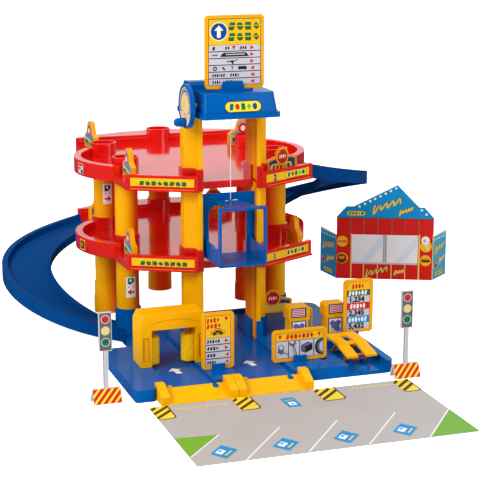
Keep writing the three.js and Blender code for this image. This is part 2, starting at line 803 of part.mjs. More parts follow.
// Lift head: the housing on top of the rails, hollow below, with the winch axle through its cheeks
function makeHead() {
  const lowY = headFrontBottom;
  const bodyLow = headBottom + lipHeight;
  const loft = (halfLow, frontLow, halfHigh, frontHigh, back, zLow, zHigh) => {
    const low = roundedRectangle(
      -halfLow, halfLow + headRightMore, frontLow, back, headCorner,
    ).getPoints(curveSteps);
    const high = roundedRectangle(
      -halfHigh, halfHigh + headRightMore, frontHigh, back, headCorner,
    ).getPoints(curveSteps);
    low.pop();
    high.pop();
    return loftBetween(low, high, zLow, zHigh);
  };
  const housing = loft(headHalfBottom, lowY, headHalfTop, headFrontTop, headBack, bodyLow - seat, headTop);
  const lip = join(
    prism(
      roundedRectangle(-lipHalfWidth, lipHalfWidth + headRightMore, lipFront, lipBack, headCorner),
      headBottom, bodyLow,
    ),
    box(-lipRearHalf, lipRearHalf, ridgeFront, lipBack, headBottom, bodyLow),
  );
  const ridgeSide = new THREE.Shape();
  ridgeSide.moveTo(ridgeFront, bodyLow - seat);
  ridgeSide.lineTo(headBack, bodyLow - seat);
  ridgeSide.lineTo(headBack, ridgeTop - ridgeRound);
  ridgeSide.absarc(headBack - ridgeRound, ridgeTop - ridgeRound, ridgeRound, 0, Math.PI / 2);
  ridgeSide.lineTo(ridgeFront + ridgeRound / 2, ridgeTop);
  ridgeSide.lineTo(ridgeFront, ridgeTop - ridgeRound / 2);
  const ridge = crosswise(ridgeSide, -ridgeLeft, ridgeRight);
  let head = join(housing, lip, ridge);

  head = cut(head,
    box(-cavityHalf, cavityHalf, cavityFront, cavityBack, headBottom - overrun, cavityTop),
    box(
      -frontCavityHalf, frontCavityHalf, cavityFront, ribFront - railSocketWall - headWall,
      headBottom - overrun, cavityTop,
    ),
    axleAlongX(axleY, axleZ, axleBore, -headHalfBottom - overrun, axleEnd + seat),
  );
  for (const side of railSides) {
    head = cut(head, railHole(side, headBottom - overrun, railTop + seat).intersect(railNeck(seat)));
  }

  const signY = clipSlotY;
  const boss = prism(
    roundedRectangle(
      -bossHalf, bossHalf, signY - bossDepth / 2, signY + bossDepth / 2, bossDepth / 2 - seat,
    ),
    headTop - seat, headTop + bossHeight,
  );
  const trapezoid = polygon([
    [-clipBottomHalf, headTop], [clipBottomHalf, headTop],
    [clipTopHalf, headTop + clipHeight], [-clipTopHalf, headTop + clipHeight],
  ]);
  const slotHalf = signThickness / 2 + seat;
  head = join(head, boss,
    upright(trapezoid, signY - slotHalf - clipWall, signY - slotHalf),
    upright(trapezoid, signY + slotHalf, signY + slotHalf + clipWall),
  );
  return head;
}

// A closed body between two outlines with as many points each
function loftBetween(low, high, zLow, zHigh) {
  const count = low.length;
  const positions = [];
  const push = (point, z) => positions.push(point.x, point.y, z);
  const lowCentre = new THREE.Vector2();
  const highCentre = new THREE.Vector2();
  for (let index = 0; index < count; index += 1) {
    lowCentre.addScaledVector(low[index], 1 / count);
    highCentre.addScaledVector(high[index], 1 / count);
  }
  for (let index = 0; index < count; index += 1) {
    const next = (index + 1) % count;
    push(low[index], zLow);
    push(low[next], zLow);
    push(high[next], zHigh);
    push(low[index], zLow);
    push(high[next], zHigh);
    push(high[index], zHigh);
    push(low[next], zLow);
    push(low[index], zLow);
    push(lowCentre, zLow);
    push(high[index], zHigh);
    push(high[next], zHigh);
    push(highCentre, zHigh);
  }
  const geometry = new THREE.BufferGeometry();
  geometry.setAttribute('position', new THREE.Float32BufferAttribute(positions, 3));
  return solid(geometry);
}

// Winch drum: axle with a flanged drum that the lift string winds on
function makeDrum() {
  return join(
    axleAlongX(axleY, axleZ, axleRadius, crankInner - crankThickness / 2 + seat, axleEnd),
    axleAlongX(axleY, axleZ, drumRadius - stringRadius * 2, -drumHalf, drumHalf, roundSteps),
    axleAlongX(axleY, axleZ, flangeRadius, -drumHalf - flangeWall, -drumHalf, roundSteps),
    axleAlongX(axleY, axleZ, flangeRadius, drumHalf, drumHalf + flangeWall, roundSteps),
  );
}

const crankInner = -lipRearHalf - crankGap;

// Crank disc with a raised rim; the knob's pin hole goes through it near the edge
function makeCrank() {
  const outer = crankInner - crankThickness;
  let disc = axleAlongX(axleY, axleZ, crankRadius, outer, crankInner, roundSteps);
  disc = cut(
    disc,
    axleAlongX(axleY, axleZ, crankRadius - crankRim, outer - overrun, outer + crankRimDepth, roundSteps),
  );
  const knobSeat = axleAlongX(axleY, axleZ - knobArm, knobRadius, outer, outer + crankThickness / 2);
  disc = join(disc, knobSeat);
  return cut(disc,
    axleAlongX(axleY, axleZ, axleRadius + seat, crankInner - crankThickness / 2, crankInner + overrun),
    axleAlongX(axleY, axleZ - knobArm, knobPin + seat, outer - overrun, crankInner + overrun),
  );
}

function makeKnob() {
  const outer = crankInner - crankThickness;
  const profile = [[0, 0]];
  const straight = knobReach - knobRadius;
  profile.push([knobRadius, 0], [knobRadius, straight]);
  const domeSteps = smallSteps / 4;
  for (let step = 1; step < domeSteps; step += 1) {
    const angle = Math.PI / 2 * step / domeSteps;
    profile.push([knobRadius * Math.cos(angle), straight + knobRadius * Math.sin(angle)]);
  }
  profile.push([0, knobReach]);
  const geometry = new THREE.LatheGeometry(profile.map(([x, y]) => new THREE.Vector2(x, y)), smallSteps);
  geometry.rotateZ(Math.PI / 2);
  geometry.translate(outer - seat, axleY, axleZ - knobArm);
  return join(solid(geometry), axleAlongX(axleY, axleZ - knobArm, knobPin, outer - seat * 2, crankInner));
}

// Lift cabin: floor tray with side sills, front posts, a waisted roof and a back panel in the rail grooves
function makeCabin() {
  const roofTop = cabinFloor + cabinHeight;
  const bottom = cabinFloor - cabinSkin;
  const side = new THREE.Shape();
  side.moveTo(cabinFront, bottom);
  side.lineTo(backPanelFront + seat, bottom);
  side.lineTo(backPanelFront + seat, cabinFloor + sillBackHeight);
  side.quadraticCurveTo(
    backPanelFront - postWidth, cabinFloor + sillHeight,
    backPanelFront - postWidth * 3, cabinFloor + sillHeight,
  );
  side.lineTo(cabinFront + postWidth * 2, cabinFloor + sillHeight);
  side.quadraticCurveTo(
    cabinFront + postWidth, cabinFloor + sillHeight,
    cabinFront + postWidth, cabinFloor + sillHeight + postWidth,
  );
  side.lineTo(cabinFront + postWidth, roofTop);
  side.lineTo(cabinFront, roofTop);
  const roof = new THREE.Shape();
  roof.moveTo(-cabinHalf, cabinFront);
  roof.lineTo(cabinHalf, cabinFront);
  roof.lineTo(cabinHalf, cabinFront + roofBeam);
  roof.quadraticCurveTo(
    roofNeckHalf, cabinFront + roofBeam, roofNeckHalf, (cabinFront + backPanelFront) / 2,
  );
  roof.quadraticCurveTo(roofNeckHalf, backPanelFront, cabinHalf, backPanelFront + seat);
  roof.lineTo(-cabinHalf, backPanelFront + seat);
  roof.quadraticCurveTo(-roofNeckHalf, backPanelFront, -roofNeckHalf, (cabinFront + backPanelFront) / 2);
  roof.quadraticCurveTo(-roofNeckHalf, cabinFront + roofBeam, -cabinHalf, cabinFront + roofBeam);
  const panel = upright(
    roundedRectangle(-backPanelHalf, backPanelHalf, bottom, roofTop + backPanelRise, signCorner),
    backPanelFront, backPanelBack,
  );
  const door = upright(
    roundedRectangle(-doorHalf, doorHalf, cabinFloor - doorHalf, cabinFloor + doorHeight, doorHalf / 2),
    backPanelFront - overrun, backPanelBack + overrun,
  ).intersect(box(-doorHalf, doorHalf, 0, backPanelBack + overrun, cabinFloor, roofTop));
  let cabin = join(
    box(-cabinHalf, cabinHalf, cabinFront, backPanelFront + seat, bottom, cabinFloor),
    crosswise(side, -cabinHalf, -cabinHalf + cabinSkin),
    crosswise(side, cabinHalf - cabinSkin, cabinHalf),
    prism(roof, roofTop - cabinSkin, roofTop),
    panel,
  );
  cabin = cut(cabin, door);
  return cut(
    cabin,
    post(0, stringY, stringRadius + seat * 2, roofTop - cabinSkin - overrun, roofTop + overrun, smallSteps),
  );
}

// Lift string, with the knot that holds it under the cabin's roof
function makeString() {
  const roofTop = cabinFloor + cabinHeight;
  const knotRadius = stringRadius * 3;
  const knotZ = roofTop - cabinSkin - seat - knotRadius;
  const line = post(0, stringY, stringRadius, knotZ, axleZ - axleRadius, smallSteps / 2);
  const knot = new THREE.SphereGeometry(knotRadius, smallSteps / 2, smallSteps / 2);
  knot.rotateX(Math.PI / 2);
  knot.translate(0, stringY, knotZ);
  return line.add(solid(knot));
}

// Half-turn ramp, gentler at its start: a channel section carried along the lane
function makeRamp(startZ) {
  const section = [
    [rampHalf, -rampWallDrop], [rampHalf, rampWallHeight], [rampHalf - rampWall, rampWallHeight],
    [rampHalf - rampWall - rampSkin / 2, 0], [-rampHalf + rampCurb, 0],
    [-rampHalf + rampCurb - rampSkin / 2, rampCurbHeight], [-rampHalf, rampCurbHeight],
    [-rampHalf, -rampCurbDrop], [-rampHalf + rampSkin, -rampCurbDrop], [-rampHalf + rampSkin, -rampSkin],
    [rampHalf - rampSkin, -rampSkin], [rampHalf - rampSkin, -rampWallDrop],
  ];
  const turnLength = Math.PI * rampRadius;
  const length = rampLead + turnLength + rampRunOut;
  const stations = [0, rampLead];
  for (let step = 1; step <= rampSteps; step += 1) {
    stations.push(rampLead + turnLength * step / rampSteps);
  }
  stations.push(length);
  const rings = stations.map((station) => {
    const share = station / length;
    const floor = startZ - rampFall * (share - rampLag * Math.sin(Math.PI * share) ** 2);
    return section.map(([across, up]) => {
      const reach = rampRadius + across;
      if (station <= rampLead) {
        return [-rampCentreX + rampLead - station, rampCentreY + reach, floor + up];
      }
      if (station <= rampLead + turnLength) {
        const angle = (station - rampLead) / rampRadius;
        return [-rampCentreX - reach * Math.sin(angle), rampCentreY + reach * Math.cos(angle), floor + up];
      }
      return [-rampCentreX + station - rampLead - turnLength, rampCentreY - reach, floor + up];
    });
  });
  const caps = THREE.ShapeUtils.triangulateShape(section.map(([x, y]) => new THREE.Vector2(x, y)), []);
  const positions = [];
  const triangle = (a, b, c) => positions.push(...a, ...b, ...c);
  const count = section.length;
  for (let ring = 0; ring + 1 < rings.length; ring += 1) {
    for (let index = 0; index < count; index += 1) {
      const next = (index + 1) % count;
      triangle(rings[ring][index], rings[ring + 1][next], rings[ring][next]);
      triangle(rings[ring][index], rings[ring + 1][index], rings[ring + 1][next]);
    }
  }
  const last = rings[rings.length - 1];
  for (const [a, b, c] of caps) {
    triangle(rings[0][a], rings[0][b], rings[0][c]);
    triangle(last[c], last[b], last[a]);
  }
  const geometry = new THREE.BufferGeometry();
  geometry.setAttribute('position', new THREE.Float32BufferAttribute(positions, 3));
  return solid(geometry);
}

// The same ramp, trimmed to the deck that it leaves and, where it has one, the deck or plate that it reaches
function makeLeftRamp() {
  const grown = polygon(inset(deckPlan, -seat));
  return cut(makeRamp(lowerFloor),
    prism(grown, lowerFloor - skirtDepth - overrun, lowerFloor + parapetHeight + socketHeight),
    box(baseLeft + baseStepX - seat, 0, 0, baseBack, -overrun, baseHeight + rampWallHeight),
    box(baseLeft - rampRadius * 2, 0, 0, baseDepth, -overrun * 4, 0),
  );
}

function makeRightRamp() {
  const grown = polygon(inset(deckPlan, -seat));
  const turned = makeRamp(upperFloor).rotate([0, 0, 180]).translate([0, rampCentreY * 2, 0]);
  return cut(turned,
    prism(grown, upperFloor - skirtDepth - overrun, upperFloor + parapetHeight + socketHeight),
    prism(grown, lowerFloor - skirtDepth - overrun, lowerFloor + parapetHeight + socketHeight),
  );
}

// Wash arch: two legs and a beam with chamfered shoulders, an arched groove and sunk leg panels
function makeArch() {
  const half = archWidth / 2;
  const front = polygon([
    [-half, 0], [-half + archLeg, 0], [-half + archLeg, archHeight - archBeam],
    [half - archLeg, archHeight - archBeam], [half - archLeg, 0], [half, 0],
    [half, archHeight - archChamfer * 2], [half - archChamfer, archHeight],
    [-half + archChamfer, archHeight], [-half, archHeight - archChamfer * 2],
  ]);
  let arch = upright(front, 0, archDepth);
  const bow = new THREE.Shape();
  const bowLow = archHeight - archBeam * 0.62;
  const bowRise = archBeam * 0.3;
  bow.moveTo(-half + archChamfer * 2, bowLow);
  bow.quadraticCurveTo(0, bowLow + bowRise * 2, half - archChamfer * 2, bowLow);
  bow.lineTo(half - archChamfer * 2, bowLow - archGroove);
  bow.quadraticCurveTo(0, bowLow + bowRise * 2 - archGroove, -half + archChamfer * 2, bowLow - archGroove);
  arch = cut(arch, upright(bow, -overrun, archGroove));
  for (const hand of [-1, 1]) {
    const middle = hand * (half - archLeg / 2);
    const axis = hand * (half - archLeg - rollerInset);
    arch = cut(arch,
      box(middle - archPanelWidth / 2, middle + archPanelWidth / 2, -overrun, archGroove,
        archPanelLow, archPanelLow + archPanelHeight),
      post(axis, archDepth / 2, rollerRecess, -overrun, archHeight - archBeam),
      post(
        axis, archDepth / 2, rollerPin + seat, archHeight - archBeam - overrun,
        archHeight - archBeam / 2, smallSteps,
      ),
    );
    arch = arch.add(post(
      hand * half / 2, archDepth / 2, archNub, archHeight - seat, archHeight + archGroove, smallSteps,
    ));
  }
  return arch;
}

const archX = (washLaneLeft + washLaneRight) / 2;
const archRoof = baseHeight + seat + archHeight - archBeam;

function makeRollerCore() {
  return join(
    post(0, 0, rollerPin, laneHeight + seat, archRoof + archBeam / 2 - seat * 2, smallSteps),
    post(0, 0, rollerCollar, rollerLow + rollerHeight + seat, archRoof - seat, smallSteps),
    post(0, 0, rollerCollar, laneHeight + seat, rollerLow - seat, smallSteps),
  );
}

function makeRollerFoam() {
  return cut(
    post(0, 0, rollerRadius, rollerLow, rollerLow + rollerHeight),
    post(0, 0, rollerPin + seat / 2, rollerLow - overrun, rollerLow + rollerHeight + overrun, smallSteps),
  );
}

// Printed board: a frame with a sunk field on its front, standing on z = 0
function makeSign(width, height) {
  const half = width / 2;
  return cut(
    upright(roundedRectangle(-half, half, 0, height, signCorner), -signThickness / 2, signThickness / 2),
    box(-half + signFrame, half - signFrame,
      -signThickness / 2 - overrun, -signThickness / 2 + signFieldDepth, signFrame, height - signFrame),
  );
}

// Gate board: a waisted outline with a round head, on a foot that stands on the deck's floor
function makeGateBoard() {
  const half = gateBoardWidth / 2;
  const shape = new THREE.Shape();
  const neck = gateBoardNeck;
  shape.moveTo(-half, 0);
  shape.lineTo(half, 0);
  shape.lineTo(half, gateBoardShoulder - neck / 2);
  shape.lineTo(neck, gateBoardShoulder);
  shape.lineTo(neck * 0.8, gateBoardHeight - neck * 0.8);
  shape.absarc(0, gateBoardHeight - neck * 0.8, neck * 0.8, 0, Math.PI);
  shape.lineTo(-neck, gateBoardShoulder);
  shape.lineTo(-half, gateBoardShoulder - neck / 2);
  const front = -gateBoardThickness / 2;
  return cut(
    upright(shape, front, gateBoardThickness / 2),
    box(-half + signFrame, half - signFrame, front - overrun, front + signFieldDepth,
      signFrame, gateBoardShoulder - neck),
    box(-half + gateBoardWall, half - gateBoardWall, front + signFieldDepth + gateBoardWall,
      gateBoardThickness / 2 + overrun, gateBoardWall, gateBoardShoulder - neck / 2 - gateBoardWall),
  );
}

// Stop board: an arched board with a sunk field, behind an eight-sided plate
function makeStopBoard() {
  const half = stopWidth / 2;
  const back = stopThickness / 2;
  const arch = [
    [-half, 0], [half, 0], [half, stopShoulder], [half - stopFrame, stopShoulder + stopFrame / 2],
    [0, stopCrown], [-half + stopFrame, stopShoulder + stopFrame / 2], [-half, stopShoulder],
  ];
  const turn = Math.PI / 8;
  const plate = [];
  for (let corner = 0; corner < 8; corner += 1) {
    const angle = turn + corner * 2 * turn;
    plate.push([stopPlate * Math.cos(angle), stopCentre + stopPlate * Math.sin(angle)]);
  }
  const board = cut(
    upright(polygon(arch), -back, back),
    upright(polygon(inset(arch, stopFrame)), -back - overrun, -back + signFieldDepth),
  );
  return join(board, cut(
    upright(polygon(plate), -back, back),
    upright(polygon(inset(plate, stopFrame)), -back - overrun, -back + signFieldDepth),
  ));
}

// Fuel pump: a body under a wider head, with a sunk field on each and a hose down its side
function makePump() {
  const half = pumpWidth / 2;
  const body = half - pumpBodyInset;
  const headLow = pumpHeight - pumpHead;
  const front = polygon([
    [-body, 0], [body, 0], [body, headLow - pumpChamfer], [half, headLow], [half, pumpHeight - pumpChamfer],
    [half - pumpChamfer, pumpHeight], [-half + pumpChamfer, pumpHeight],
    [-half, pumpHeight - pumpChamfer], [-half, headLow], [-body, headLow - pumpChamfer],
  ]);
  let pump = upright(front, 0, pumpDepth);
  pump = cut(pump,
    box(-body + pumpBodyInset, body - pumpBodyInset, -overrun, signFieldDepth,
      headLow + pumpChamfer, pumpHeight - pumpChamfer),
    box(-body + pumpBodyInset, body - pumpBodyInset, -overrun, signFieldDepth,
      pumpChamfer, headLow - pumpChamfer * 2),
  );
  const hoseX = half + hoseReach - hoseRadius;
  const hoseTop = pumpHeight - pumpChamfer * 2;
  const path = new THREE.CurvePath();
  const point = (x, z) => new THREE.Vector3(x, pumpDepth / 2, z);
  path.add(new THREE.LineCurve3(point(half - pumpChamfer, hoseTop), point(hoseX - hoseReach / 2, hoseTop)));
  path.add(new THREE.QuadraticBezierCurve3(
    point(hoseX - hoseReach / 2, hoseTop), point(hoseX, hoseTop), point(hoseX, hoseTop - hoseReach / 2),
  ));
  path.add(new THREE.LineCurve3(point(hoseX, hoseTop - hoseReach / 2), point(hoseX, hoseReach)));
  path.add(new THREE.QuadraticBezierCurve3(
    point(hoseX, hoseReach), point(hoseX, hoseReach / 2), point(body - pumpChamfer, hoseReach / 2),
  ));
  const round = new THREE.Shape();
  round.absarc(0, 0, hoseRadius, 0, 2 * Math.PI);
  const hose = new THREE.ExtrudeGeometry(
    round, { steps: roundSteps / 2, extrudePath: path, bevelEnabled: false, curveSegments: curveSteps },
  );
  return pump.add(solid(hose));
}

// Hoist platform: two tracks with tips that slope to the street, joined at the rear and at the bend
function makePlatform() {
  const low = hoistTop - trackThickness;
  const bend = hoistBack - trackLength;
  const side = polygon([
    [bend - trackTip, low - trackDrop], [bend, low], [hoistBack, low], [hoistBack, hoistTop],
    [bend, hoistTop], [bend - trackTip, hoistTop - trackDrop],
  ]);
  const inner = trackGap / 2;
  const outer = inner + trackWidth;
  const under = (y) => low - trackDrop * Math.max(0, bend - y) / trackTip;
  let platform = join(
    crosswise(side, hoistX - outer, hoistX - inner),
    crosswise(side, hoistX + inner, hoistX + outer),
    box(hoistX - outer, hoistX + outer, hoistBack - trackBridge, hoistBack, low, hoistTop),
    box(
      hoistX - outer, hoistX + outer, bend - trackBridge / 2, bend + trackBridge / 2,
      low - trackDrop / 8, low + seat,
    ),
  );
  for (const legY of [frontLegY, rearLegY]) {
    const pivotY = legY - legLeanY;
    const pivotZ = legFootZ + legRiseZ;
    const lugBack = pivotY + lugBore + lugWall;
    for (const hand of [-1, 1]) {
      const x = hoistX + hand * (inner + trackWidth / 3);
      platform = platform.add(box(
        x - lugHalf, x + lugHalf, pivotY - lugBore - lugWall, lugBack, pivotZ - legRadius, under(lugBack),
      ));
    }
    platform = cut(platform,
      axleAlongX(pivotY, pivotZ, lugBore, hoistX - legWidth, hoistX + legWidth),
      box(
        hoistX - legWidth, hoistX + legWidth, pivotY - lugBore, pivotY + lugBore, pivotZ - overrun * 2,
        pivotZ,
      ),
    );
  }
  return platform;
}

// Swinging leg frame: a closed rod frame whose lower and upper bars are the pivots
function makeLegs(legY) {
  const half = legWidth / 2;
  const topY = legY - legLeanY;
  const topZ = legFootZ + legRiseZ;
  const length = Math.hypot(legLeanY, legRiseZ);
  let frame = join(
    axleAlongX(legY, legFootZ, legRadius, hoistX - half, hoistX + half, smallSteps),
    axleAlongX(topY, topZ, legRadius, hoistX - half, hoistX + half, smallSteps),
  );
  for (const hand of [-1, 1]) {
    const rod = new THREE.CylinderGeometry(legRadius, legRadius, length, smallSteps);
    rod.rotateX(Math.PI / 2 + Math.atan2(legLeanY, legRiseZ));
    rod.translate(hoistX + hand * (half - legRadius), (legY + topY) / 2, (legFootZ + topZ) / 2);
    frame = frame.add(solid(rod));
  }
  return frame;
}

// Traffic light: lamp plate and post on a folded tent foot
function makeTrafficLight() {
  const tent = polygon([
    [-lightTentDepth / 2, 0], [-lightTentDepth / 2 + lightTentWall * 2, 0],
    [0, lightTentHeight - lightTentWall * 2], [lightTentDepth / 2 - lightTentWall * 2, 0],
    [lightTentDepth / 2, 0], [lightTentWall, lightTentHeight], [-lightTentWall, lightTentHeight],
  ]);
  return join(
    crosswise(tent, -lightTentWidth / 2, lightTentWidth / 2),
    box(-lightPostWidth / 2, lightPostWidth / 2, -lightPostDepth / 2, lightPostDepth / 2,
      lightTentHeight - lightTentWall, lightHeight - lightHeadHeight + seat),
    box(-lightHeadWidth / 2, lightHeadWidth / 2, -lightHeadDepth / 2, lightHeadDepth / 2,
      lightHeight - lightHeadHeight, lightHeight),
  );
}

// Kiosk front: one folded sheet, a gabled wall between two wings
function makeKiosk() {
  const half = kioskWidth / 2;
  const along = (share) => -half + kioskWidth * share;
  const [rise, ledge, ridge, rightLedge, fall] = gableShares.map(along);
  const wall = polygon([
    [-half, 0], [half, 0], [half, kioskEave], [fall, kioskShoulder], [rightLedge, kioskShoulder],
    [ridge, kioskRidge], [ledge, kioskShoulder], [rise, kioskShoulder], [-half, kioskEave],
  ]);
  const rightWing = upright(polygon([
    [0, 0], [kioskRightWing, 0], [kioskRightWing, kioskWingOuter], [0, kioskWingInner],
  ]), 0, kioskThickness).rotate([0, 0, kioskRightTurn]).translate([half - kioskThickness / 2, 0, 0]);
  const leftWing = upright(polygon([
    [-kioskLeftWing, 0], [0, 0], [0, kioskWingInner], [-kioskLeftWing, kioskWingOuter],
  ]), 0, kioskThickness).rotate([0, 0, -kioskLeftTurn]).translate([-half + kioskThickness / 2, 0, 0]);
  return join(upright(wall, 0, kioskThickness), rightWing, leftWing);
}

place('base_plate', makeBase(), blue);
place('entry_ramp_left', makeEntryRamp(entryLefts[0]), yellow);
place('entry_ramp_right', makeEntryRamp(entryLefts[1]), yellow);

const deck = makeDeck();
place('lower_deck', deck, red, 0, 0, lowerFloor);
place('upper_deck', deck, red, 0, 0, upperFloor);

// Round columns of both storeys; the rear ones stand on stepped foot sleeves behind the base plate
const lowerTop = lowerFloor - floorThickness - seat;
const upperTop = upperFloor - floorThickness - seat;
for (const [hand, x] of frontColumns) {
  place(`column_front_${hand}_lower`, makeTube(laneHeight + seat, lowerTop), yellow, x, frontColumnY);
  place(`column_front_${hand}_upper`, makeTube(lowerFloor + seat, upperTop), yellow, x, frontColumnY);
}
for (const [hand, x] of rearColumns) {
  place(`column_rear_${hand}_foot`, makeFoot(), yellow, x, rearColumnY);
  place(`column_rear_${hand}_lower`, makeTube(footFloor + seat, lowerTop), yellow, x, rearColumnY);
  place(`column_rear_${hand}_upper`, makeTube(lowerFloor + seat, upperTop), yellow, x, rearColumnY);
}
place('column_middle_foot', makeFoot(), yellow, 0, middleColumnY);
place('column_middle_lower', makeTube(footFloor + seat, lowerTop), yellow, 0, middleColumnY);
place('column_middle_upper', makeTube(lowerFloor + seat, upperTop), yellow, 0, middleColumnY);

for (const side of railSides) {
  place(`lift_rail_${side.name}_lower`, prism(polygon(side.section), laneHeight + seat, lowerTop), yellow);
  place(`lift_rail_${side.name}_middle`, prism(polygon(side.section), lowerFloor + seat, upperTop), yellow);
  const neck = prism(polygon(side.section), upperFloor + seat, railTop).intersect(railNeck(0));
  const column = prism(polygon(side.section), upperFloor + seat, headBottom - seat);
  place(`lift_rail_${side.name}_upper`, column.add(neck), yellow);
}

place('lift_head', makeHead(), blue);
place('winch_drum', makeDrum(), yellow);
place('crank_disc', makeCrank(), blue);
place('crank_knob', makeKnob(), blue);
place('lift_cabin', makeCabin(), blue);
place('lift_string', makeString(), cord);
place(
  'roof_sign', makeSign(roofSignWidth, roofSignHeight), yellow, roofSignX, clipSlotY,
  headTop + bossHeight + seat,
);

place('ramp_left', makeLeftRamp(), blue);
place('ramp_right', makeRightRamp(), blue);

const archY = archFrontY;
place('wash_arch', makeArch(), yellow, archX, archY, baseHeight + seat);
for (const [hand, name] of [[-1, 'left'], [1, 'right']]) {
  const x = archX + hand * (archWidth / 2 - archLeg - rollerInset);
  place(`wash_roller_core_${name}`, makeRollerCore(), orange, x, archY + archDepth / 2);
  place(`wash_roller_foam_${name}`, makeRollerFoam(), foam, x, archY + archDepth / 2);
}

place(
  'wash_sign', makeSign(washSignWidth, washSignHeight), yellow, washSignX, streetSignY,
  baseHeight + seat,
);
place(
  'service_sign', makeSign(serviceSignWidth, serviceSignHeight), yellow, serviceSignX, streetSignY,
  baseHeight + seat,
);
place(
  'price_sign', makeSign(priceSignWidth, priceSignHeight), yellow, priceSignX, priceSignY,
  baseHeight + priceStep + seat,
);

place('pump_left', makePump(), yellow, pumpLeftX, pumpY, baseHeight + seat);
place('pump_right', makePump(), yellow, pumpRightX, pumpY, baseHeight + seat);

place('hoist_platform', makePlatform(), yellow);
place('hoist_legs_front', makeLegs(frontLegY), orange);
place('hoist_legs_rear', makeLegs(rearLegY), orange);

const quarter = Math.PI / 2;
const degree = Math.PI / 180;
const frontBoardY = (panelOuterY + sideWallY) / 2;
const rearBoardY = gateBackY - gateBoardWidth / 2 - gateBoardThickness / 2;
const rearTurn = rearBoardTurn * degree - quarter;
const barrierY = rearColumnY + socketRadius + gateBoardThickness / 2 + seat;
const gateBoards = [
  ['board_upper_rear_left', -rearBoardX, rearBoardY, upperFloor, rearTurn],
  ['board_upper_front_left', -gateBoardX, frontBoardY, upperFloor, -quarter],
  ['board_upper_rear_right', rearColumnX, barrierY, upperFloor, 0],
  ['board_lower_rear_left', -openBoardX, openBoardY, lowerFloor, openBoardTurn * degree],
  ['board_lower_front_left', -gateBoardX, frontBoardY, lowerFloor, -quarter],
  ['board_lower_front_right', gateBoardX, frontBoardY, lowerFloor, quarter],
];
for (const [name, x, y, z, turn] of gateBoards) {
  place(name, makeGateBoard(), yellow, x, y, z + seat, turn);
}

const panelTurn = Math.atan2(panelOuterY - panelInnerY, panelOuterX - panelInnerX);
place('stop_board_upper', makeStopBoard(), yellow, stopUpperX, stopUpperY, upperFloor + seat, panelTurn);
place('stop_board_lower', makeStopBoard(), yellow, stopLowerX, stopLowerY, lowerFloor + seat);
const stopGroundY = frontColumnY - socketRadius - stopThickness / 2 - seat;
place('stop_board_ground', makeStopBoard(), yellow, stopGroundX, stopGroundY, baseHeight + seat);

place('kiosk_front', makeKiosk(), card, kioskX, kioskY, 0, kioskTurn * degree);
place('parking_mat', box(-matWidth / 2, matWidth / 2, -matDepth, 0, 0, matThickness), card,
  matX, baseFront - entryReach - matGap);
place('traffic_light_left', makeTrafficLight(), card, baseLeft - leftLightOut, baseFront + leftLightBack);
place('traffic_light_right', makeTrafficLight(), card,
  matX + matWidth / 2 + rightLightOut, baseFront - rightLightAhead);

export default garage;
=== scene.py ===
# Looks for the toy parking garage: one camera, soft studio light, moulded plastic and printed stickers.
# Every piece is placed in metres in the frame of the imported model.
import math

import bpy
from mathutils import Matrix, Vector


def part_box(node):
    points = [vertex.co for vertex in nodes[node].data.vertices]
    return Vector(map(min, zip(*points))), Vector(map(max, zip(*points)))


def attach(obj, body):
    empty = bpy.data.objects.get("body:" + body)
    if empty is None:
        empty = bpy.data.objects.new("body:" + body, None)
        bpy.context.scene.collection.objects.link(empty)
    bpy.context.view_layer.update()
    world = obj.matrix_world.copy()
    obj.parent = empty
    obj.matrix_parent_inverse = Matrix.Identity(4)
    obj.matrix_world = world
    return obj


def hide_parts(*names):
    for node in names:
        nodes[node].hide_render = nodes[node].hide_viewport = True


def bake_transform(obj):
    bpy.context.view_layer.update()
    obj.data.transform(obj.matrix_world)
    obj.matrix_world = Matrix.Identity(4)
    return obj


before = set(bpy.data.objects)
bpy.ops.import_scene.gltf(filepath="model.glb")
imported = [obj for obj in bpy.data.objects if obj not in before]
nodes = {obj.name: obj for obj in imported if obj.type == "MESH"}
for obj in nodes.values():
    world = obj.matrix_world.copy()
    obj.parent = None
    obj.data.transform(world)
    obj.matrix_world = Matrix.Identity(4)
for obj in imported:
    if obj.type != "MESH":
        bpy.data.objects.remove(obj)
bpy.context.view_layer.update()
scene = bpy.context.scene
scene.view_settings.view_transform = "Standard"


# Camera and light.
# The camera stands left of the middle and looks down at the street side. The surround is white behind
# the toy and dark in front of it, so only level faces mirror it; the key light comes from the left.
look_down = 13.31
look_right = 18.67
camera_data = bpy.data.cameras.new("camera")
camera_data.lens = 114.5
camera_data.sensor_width = 36
camera_data.clip_end = 20
camera = bpy.data.objects.new("camera", camera_data)
camera.location = (-0.6304, -1.9041, 0.6328)
camera.rotation_euler = (math.radians(90 - look_down), 0, math.radians(-look_right))
scene.collection.objects.link(camera)
scene.camera = camera


def by_ray(tree, plain, mirrored, watched, output):
    # One source for ordinary light, one for mirrored rays and one for what the camera sees directly
    path = tree.nodes.new("ShaderNodeLightPath")
    shiny = tree.nodes.new("ShaderNodeMixShader")
    seen = tree.nodes.new("ShaderNodeMixShader")
    tree.links.new(path.outputs["Is Glossy Ray"], shiny.inputs["Fac"])
    tree.links.new(plain, shiny.inputs[1])
    tree.links.new(mirrored, shiny.inputs[2])
    tree.links.new(path.outputs["Is Camera Ray"], seen.inputs["Fac"])
    tree.links.new(shiny.outputs[0], seen.inputs[1])
    tree.links.new(watched, seen.inputs[2])
    tree.links.new(seen.outputs[0], output)


